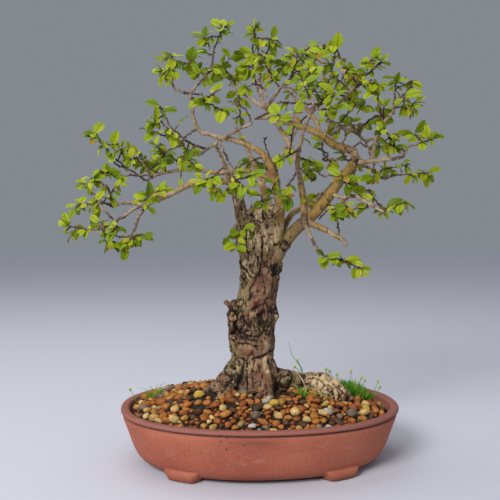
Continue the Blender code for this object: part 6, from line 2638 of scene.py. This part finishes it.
    def build(self, spray: Spray, number: int) -> Object:
        """Make one spray.

        Args:
            spray: the planned spray.
            number: its number.

        Returns:
            The spray as one piece.
        """
        rng = random.Random(9000 + number)
        growth = self.bunches.pop(spray.name, Growth("sprig"))
        growth.name = spray.name.replace("leafy_spray", "sprig")
        for path, radii in spray.twigs:
            places, sizes = smooth_route(path, [r * self.twig_share for r in radii], 2.0)
            for index in range(1, len(places) - 1):
                sway = Vector([noise.noise(places[index] / 3.5 + Vector((a * 4.0, 1, 0))) for a in range(3)])
                places[index] = places[index] + sway * 0.8
                sizes[index] *= 1.0 + 0.28 * max(0.0, noise.noise(places[index] / 1.7))
            growth.path(places, sizes)
            add_buds(growth, places, sizes)
        for leaf in spray.leaves:
            self.place(growth, leaf, rng.uniform(0.1, 0.7))
        for path, _ in spray.twigs:
            self.fill(growth, path, rng)
        return growth.grow(self.bench, self.rule)

    def fill(self, growth: Growth, path: list[Vector], rng: random.Random) -> None:
        """Add younger leaves to a twig, alternating from side to side, where they clear the others.

        Args:
            growth: the growth that takes them.
            path: the twig's points.
            rng: the source of chance.
        """
        places, _ = smooth_route(path, [1.0] * len(path), 1.5)
        last = len(places) - 1
        ahead = (places[last] - places[max(last - 4, 0)]).normalized()
        side = ahead.cross(Vector((0, 0, 1)))
        side = side.normalized() if side.length > 0.2 else Vector((1, 0, 0))
        for index in range(self.extra_leaves):
            for _ in range(self.fill_tries):
                share = 1.0 - 0.5 * rng.random() ** 1.3
                turn = side if index % 2 else -side
                direction = ahead * rng.uniform(-0.1, 0.9) + turn * rng.uniform(0.2, 1.0)
                direction = (direction + Vector((0, 0, rng.uniform(-1.0, 0.3)))).normalized()
                length = rng.uniform(*self.young_length)
                leaf = Leaf(places[round(last * share)], direction, Vector((0, 0, 1)), length).shown(rng)
                if self.is_open(leaf):
                    young = length < 8.6 and share > 0.85
                    self.place(growth, leaf, rng.uniform(0.88, 0.98) if young else rng.uniform(0.1, 0.86))
                    break

    def rest(self) -> Object:
        """Make the bunches that limbs and fine twigs bear as one piece."""
        return self.bunches.pop("limb").grow(self.bench, self.rule)


# Small plants in the gravel


@dataclass
class Tuft:
    """A cushion of narrow blades, with seed capsules on stalks."""

    name: str
    centre: tuple[float, float]
    reach: float
    height: float
    blades: int
    capsules: Route
    seed: int
    stems: Route = ()
    sprigs: tuple[tuple[bool, Route], ...] = ()
    capsule: tuple[float, float, float] = (1.3, 1.3, 1.7)
    bud: tuple[float, float, float] = (1.3, 1.3, 1.6)

    def build(self, bench: Bench, rule: GrowthRule) -> Object:
        """Make the tuft.

        Args:
            bench: the bench that places the mesh.
            rule: the finishes, and the capsule's shape.

        Returns:
            The tuft as one piece.
        """
        rng = random.Random(self.seed)
        growth = Growth(self.name + "_blades")
        middle = VIEWER.turned((*self.centre, 0.0))
        for index in range(self.blades):
            out = self.reach * math.sqrt(rng.random())
            angle = rng.uniform(0.0, math.tau)
            foot = middle + Vector((math.cos(angle), math.sin(angle), 0.0)) * out * 0.8
            foot.z = soil_height(foot.x, foot.y) + 1.0
            dome = math.sqrt(max(0.05, 1.0 - (out / self.reach) ** 2))
            lean = Vector((math.cos(angle), math.sin(angle), 0.0)) * rng.uniform(0.1, 0.5) * self.height
            sway = Vector((rng.uniform(-1, 1), rng.uniform(-1, 1), 0.0)) * self.height * 0.22
            clump = noise.noise(foot / 4.5)
            rise = self.height * (0.45 + 0.75 * dome) * rng.uniform(0.7, 1.1) * (1.0 + 0.5 * clump)
            tip = foot + lean + sway + Vector((0, 0, rise))
            bend = foot.lerp(tip, 0.5) + Vector((0, 0, 0.12 * self.height))
            tone = min(0.95, max(0.08, rng.uniform(0.2, 0.85) + 0.9 * clump))
            growth.path([foot, bend, tip], [0.45, 0.42, 0.12], tone)
        for stem in self.stems:
            tip = VIEWER.seen(*stem)
            foot = middle.lerp(Vector((tip.x, tip.y, 0.0)), 0.1)
            foot.z = soil_height(foot.x, foot.y) + 2.0
            bend = foot.lerp(tip, 0.5) + Vector((0, 0, 3.0))
            growth.path([foot, bend, tip], [0.38, 0.36, 0.12], rng.uniform(0.3, 0.9))
        for headed, sprig in self.sprigs:
            route = [VIEWER.seen(*place) for place in sprig]
            route[0].z = soil_height(route[0].x, route[0].y) + 2.0
            growth.path(route, [0.42, 0.38, 0.3, 0.14][: len(route)], 0.6)
            if headed:
                growth.shape(route[-1], Matrix.Identity(3), Vector(self.bud) * MM, 0, 0.95)
        for across, down, depth in self.capsules:
            tip = VIEWER.seen(across, down, depth)
            foot = middle.lerp(Vector((tip.x, tip.y, 0.0)), 0.75)
            foot.z = soil_height(foot.x, foot.y) + 3.0
            bend = foot.lerp(tip, 0.6) + Vector((rng.uniform(-1, 1), rng.uniform(-1, 1), 1.0))
            growth.path([foot, bend, tip], [0.35, 0.3, 0.28], 0.5)
            growth.shape(tip, Matrix.Identity(3), Vector(self.capsule) * MM, 0, 0.95)
        return growth.grow(bench, rule)


TUFTS = (
    Tuft(
        "pearlwort_tuft",
        centre=(84, 12),
        reach=22.5,
        height=9.5,
        blades=1300,
        capsules=(
            (326, 369, 6), (329.6, 371, 10), (337, 374.5, 12), (351, 371, 20), (361.7, 377.6, 24), (365, 380, 20),
            (378, 381.5, 26), (380, 387, 22),
        ),
        seed=41,
    ),
    Tuft(
        "grass_tuft",
        centre=(36, -26),
        reach=7,
        height=6,
        blades=16,
        capsules=(),
        seed=42,
        stems=(
            (294, 385, -22), (297, 388, -26), (312, 388, -20), (318, 394, -30), (322, 401, -38), (332, 399, -34),
            (302, 386, -18), (309, 402, -40), (327, 404, -36), (300, 395, -34),
        ),
        sprigs=(
            (True, ((303, 376, 12), (302, 369, 12), (297.2, 360.5, 10))),
            (True, ((303, 376, 12), (299, 370.5, 11), (294.5, 366.8, 10))),
            (False, ((305, 376, 12), (300.5, 367, 11), (292, 355, 9), (288.5, 342, 8))),
        ),
    ),
    Tuft(
        "weed_sprigs",
        centre=(-96, 2),
        reach=10,
        height=7,
        blades=26,
        capsules=((130, 389.3, 2),),
        seed=43,
        stems=(
            (140, 388, 2), (146, 393, -4), (150, 386, 6), (155, 391, 4), (143, 399, -10), (158, 398, 0),
            (138, 396, -4), (141, 405, -14), (165, 382, 6), (161, 391, 2), (152, 402, -8), (148, 408, -16),
            (158, 384, 8), (167, 388, 0),
        ),
    ),
)


def capsule_form() -> Object:
    """Model one seed capsule of unit size."""
    build = bmesh.new()
    bmesh.ops.create_icosphere(build, subdivisions=2, radius=1.0)
    return stand_build("capsule", build)


# Studio


def lay_floor(size: float) -> Object:
    """Lay the plain pale floor under the feet.

    Args:
        size: the floor's side in metres.

    Returns:
        The new object.
    """
    made, shader = start_finish("floor", 0.9, 0.1)
    shader.inputs["Base Color"].default_value = linear("CACAD4")
    mesh = bpy.data.meshes.new("floor")
    half = size / 2
    mesh.from_pydata([(-half, -half, 0), (half, -half, 0), (half, half, 0), (-half, half, 0)], [], [(0, 1, 2, 3)])
    mesh.materials.append(made)
    return stand("floor", mesh)


# Soft lights in metres and watts, all turned to the crown: (name, place, side, power)
LIGHTS = (
    ("key", (-1.05, -1.6, 1.25), 0.8, 45.0), ("fill", (1.2, -1.3, 0.8), 1.2, 0.8),
    ("top", (-0.3, 0.4, 1.6), 1.0, 7.0),
)
CROWN = (0.0, 0.0, 0.2)
FLOOR_SIZE = 12.0


def hang_light(name: str, place: Vector, size: float, power: float, aim: Vector) -> None:
    """Hang one soft square light.

    Args:
        name: the light's name.
        place: where it hangs, in metres.
        size: its side.
        power: its strength in watts.
        aim: the point that it faces.
    """
    lamp = bpy.data.lights.new(name, "AREA")
    lamp.shape, lamp.size, lamp.energy = "SQUARE", size, power
    obj = stand(name, lamp)
    obj.location = place
    obj.rotation_euler = (aim - place).to_track_quat("-Z", "Y").to_euler()


def light_studio() -> None:
    """Set a pale world, a large soft key from the upper left, weaker fill and top lights, and a wide sun."""
    world = bpy.data.worlds.new("studio")
    bpy.context.scene.world = world
    world.use_nodes = True
    background = world.node_tree.nodes["Background"]
    background.inputs["Color"].default_value = linear("A9B0B8")
    background.inputs["Strength"].default_value = 0.58
    for name, place, size, power in LIGHTS:
        hang_light(name, Vector(place), size, power, Vector(CROWN))
    sky = bpy.data.lights.new("sky", "SUN")
    sky.energy, sky.angle = 0.5, math.radians(120.0)
    stand("sky", sky).rotation_euler = (math.radians(12.0), math.radians(-8.0), 0.0)
    bpy.context.scene.view_settings.view_transform = "Standard"


def set_camera(bench: Bench) -> None:
    """Stand the camera where the tree's front faces.

    Args:
        bench: the bench that places it.
    """
    lens = bpy.data.cameras.new("camera")
    lens.sensor_width = 36.0
    lens.lens = VIEWER.focal / (2 * VIEWER.middle) * lens.sensor_width
    camera = stand("camera", lens)
    camera.location = bench.place(VIEWER.turned(VIEWER.eye))
    camera.rotation_euler = (math.radians(90.0) - VIEWER.pitch, 0.0, VIEWER.turn)
    bpy.context.scene.camera = camera


def main() -> None:
    """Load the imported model, build each piece and the studio, and note the sizes."""
    logging.basicConfig(level=logging.INFO, format="%(message)s")
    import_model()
    bench = Bench.from_pot()
    tree = growth_tree()
    bark, leaf_green = ElmBark().build(), ELM_LEAF.build()

    settle(Pot(bench, FiredClay().build()).build(), "terracotta", "pot")
    settle(Soil(bench, DampSoil().build()).build(), "damp_soil", "soil")
    trunk = Trunk(bench, bark)
    settle(trunk.build(), "elm_bark", "tree_wood")
    leaf_shapes = shape_collection("leaf_forms", [form.make() for form in LEAF_FORMS])
    wood_rule = GrowthRule(tree, leaf_shapes, bark, leaf_green, sides=10, knobs=0.55, knob_size=3.2)
    settle(Limbs(bench, wood_rule).build(), "elm_bark", "tree_wood")

    obstacles = strung_balls(*VIEWER.turned_route(TRUNK_FOOT))
    for route in (*ROOTS, *FINGER_ROOTS):
        obstacles += strung_balls(*VIEWER.turned_route(route), 3.0)
    obstacles.append((VIEWER.turned(CUSHION[:3]), CUSHION[3]))
    settle(Gravel(bench, WornStone().build(), tree).build(obstacles), "pea_gravel", "gravel")

    planner = SprayPlanner()
    spray_rule = GrowthRule(tree, leaf_shapes, bark, leaf_green, sides=6, knobs=0.7, knob_size=2.0)
    sprays = planner.plan_all()
    dresser = Dresser(bench, spray_rule)
    dresser.note_wood()
    for spray in sprays:
        dresser.note(spray)
    dresser.hang_bunches()
    for number, spray in enumerate(sprays, start=1):
        settle(dresser.build(spray, number), "elm_leaf", spray.name)
    settle(dresser.rest(), "elm_leaf")

    green = PEARLWORT.build()
    plant_rule = GrowthRule(tree, shape_collection("capsules", [capsule_form()]), green, green, sides=3, knobs=0.0)
    for tuft in TUFTS:
        settle(tuft.build(bench, plant_rule), "pearlwort", tuft.name)

    lay_floor(FLOOR_SIZE)
    light_studio()
    set_camera(bench)
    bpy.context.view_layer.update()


if __name__ == "__main__":
    main()
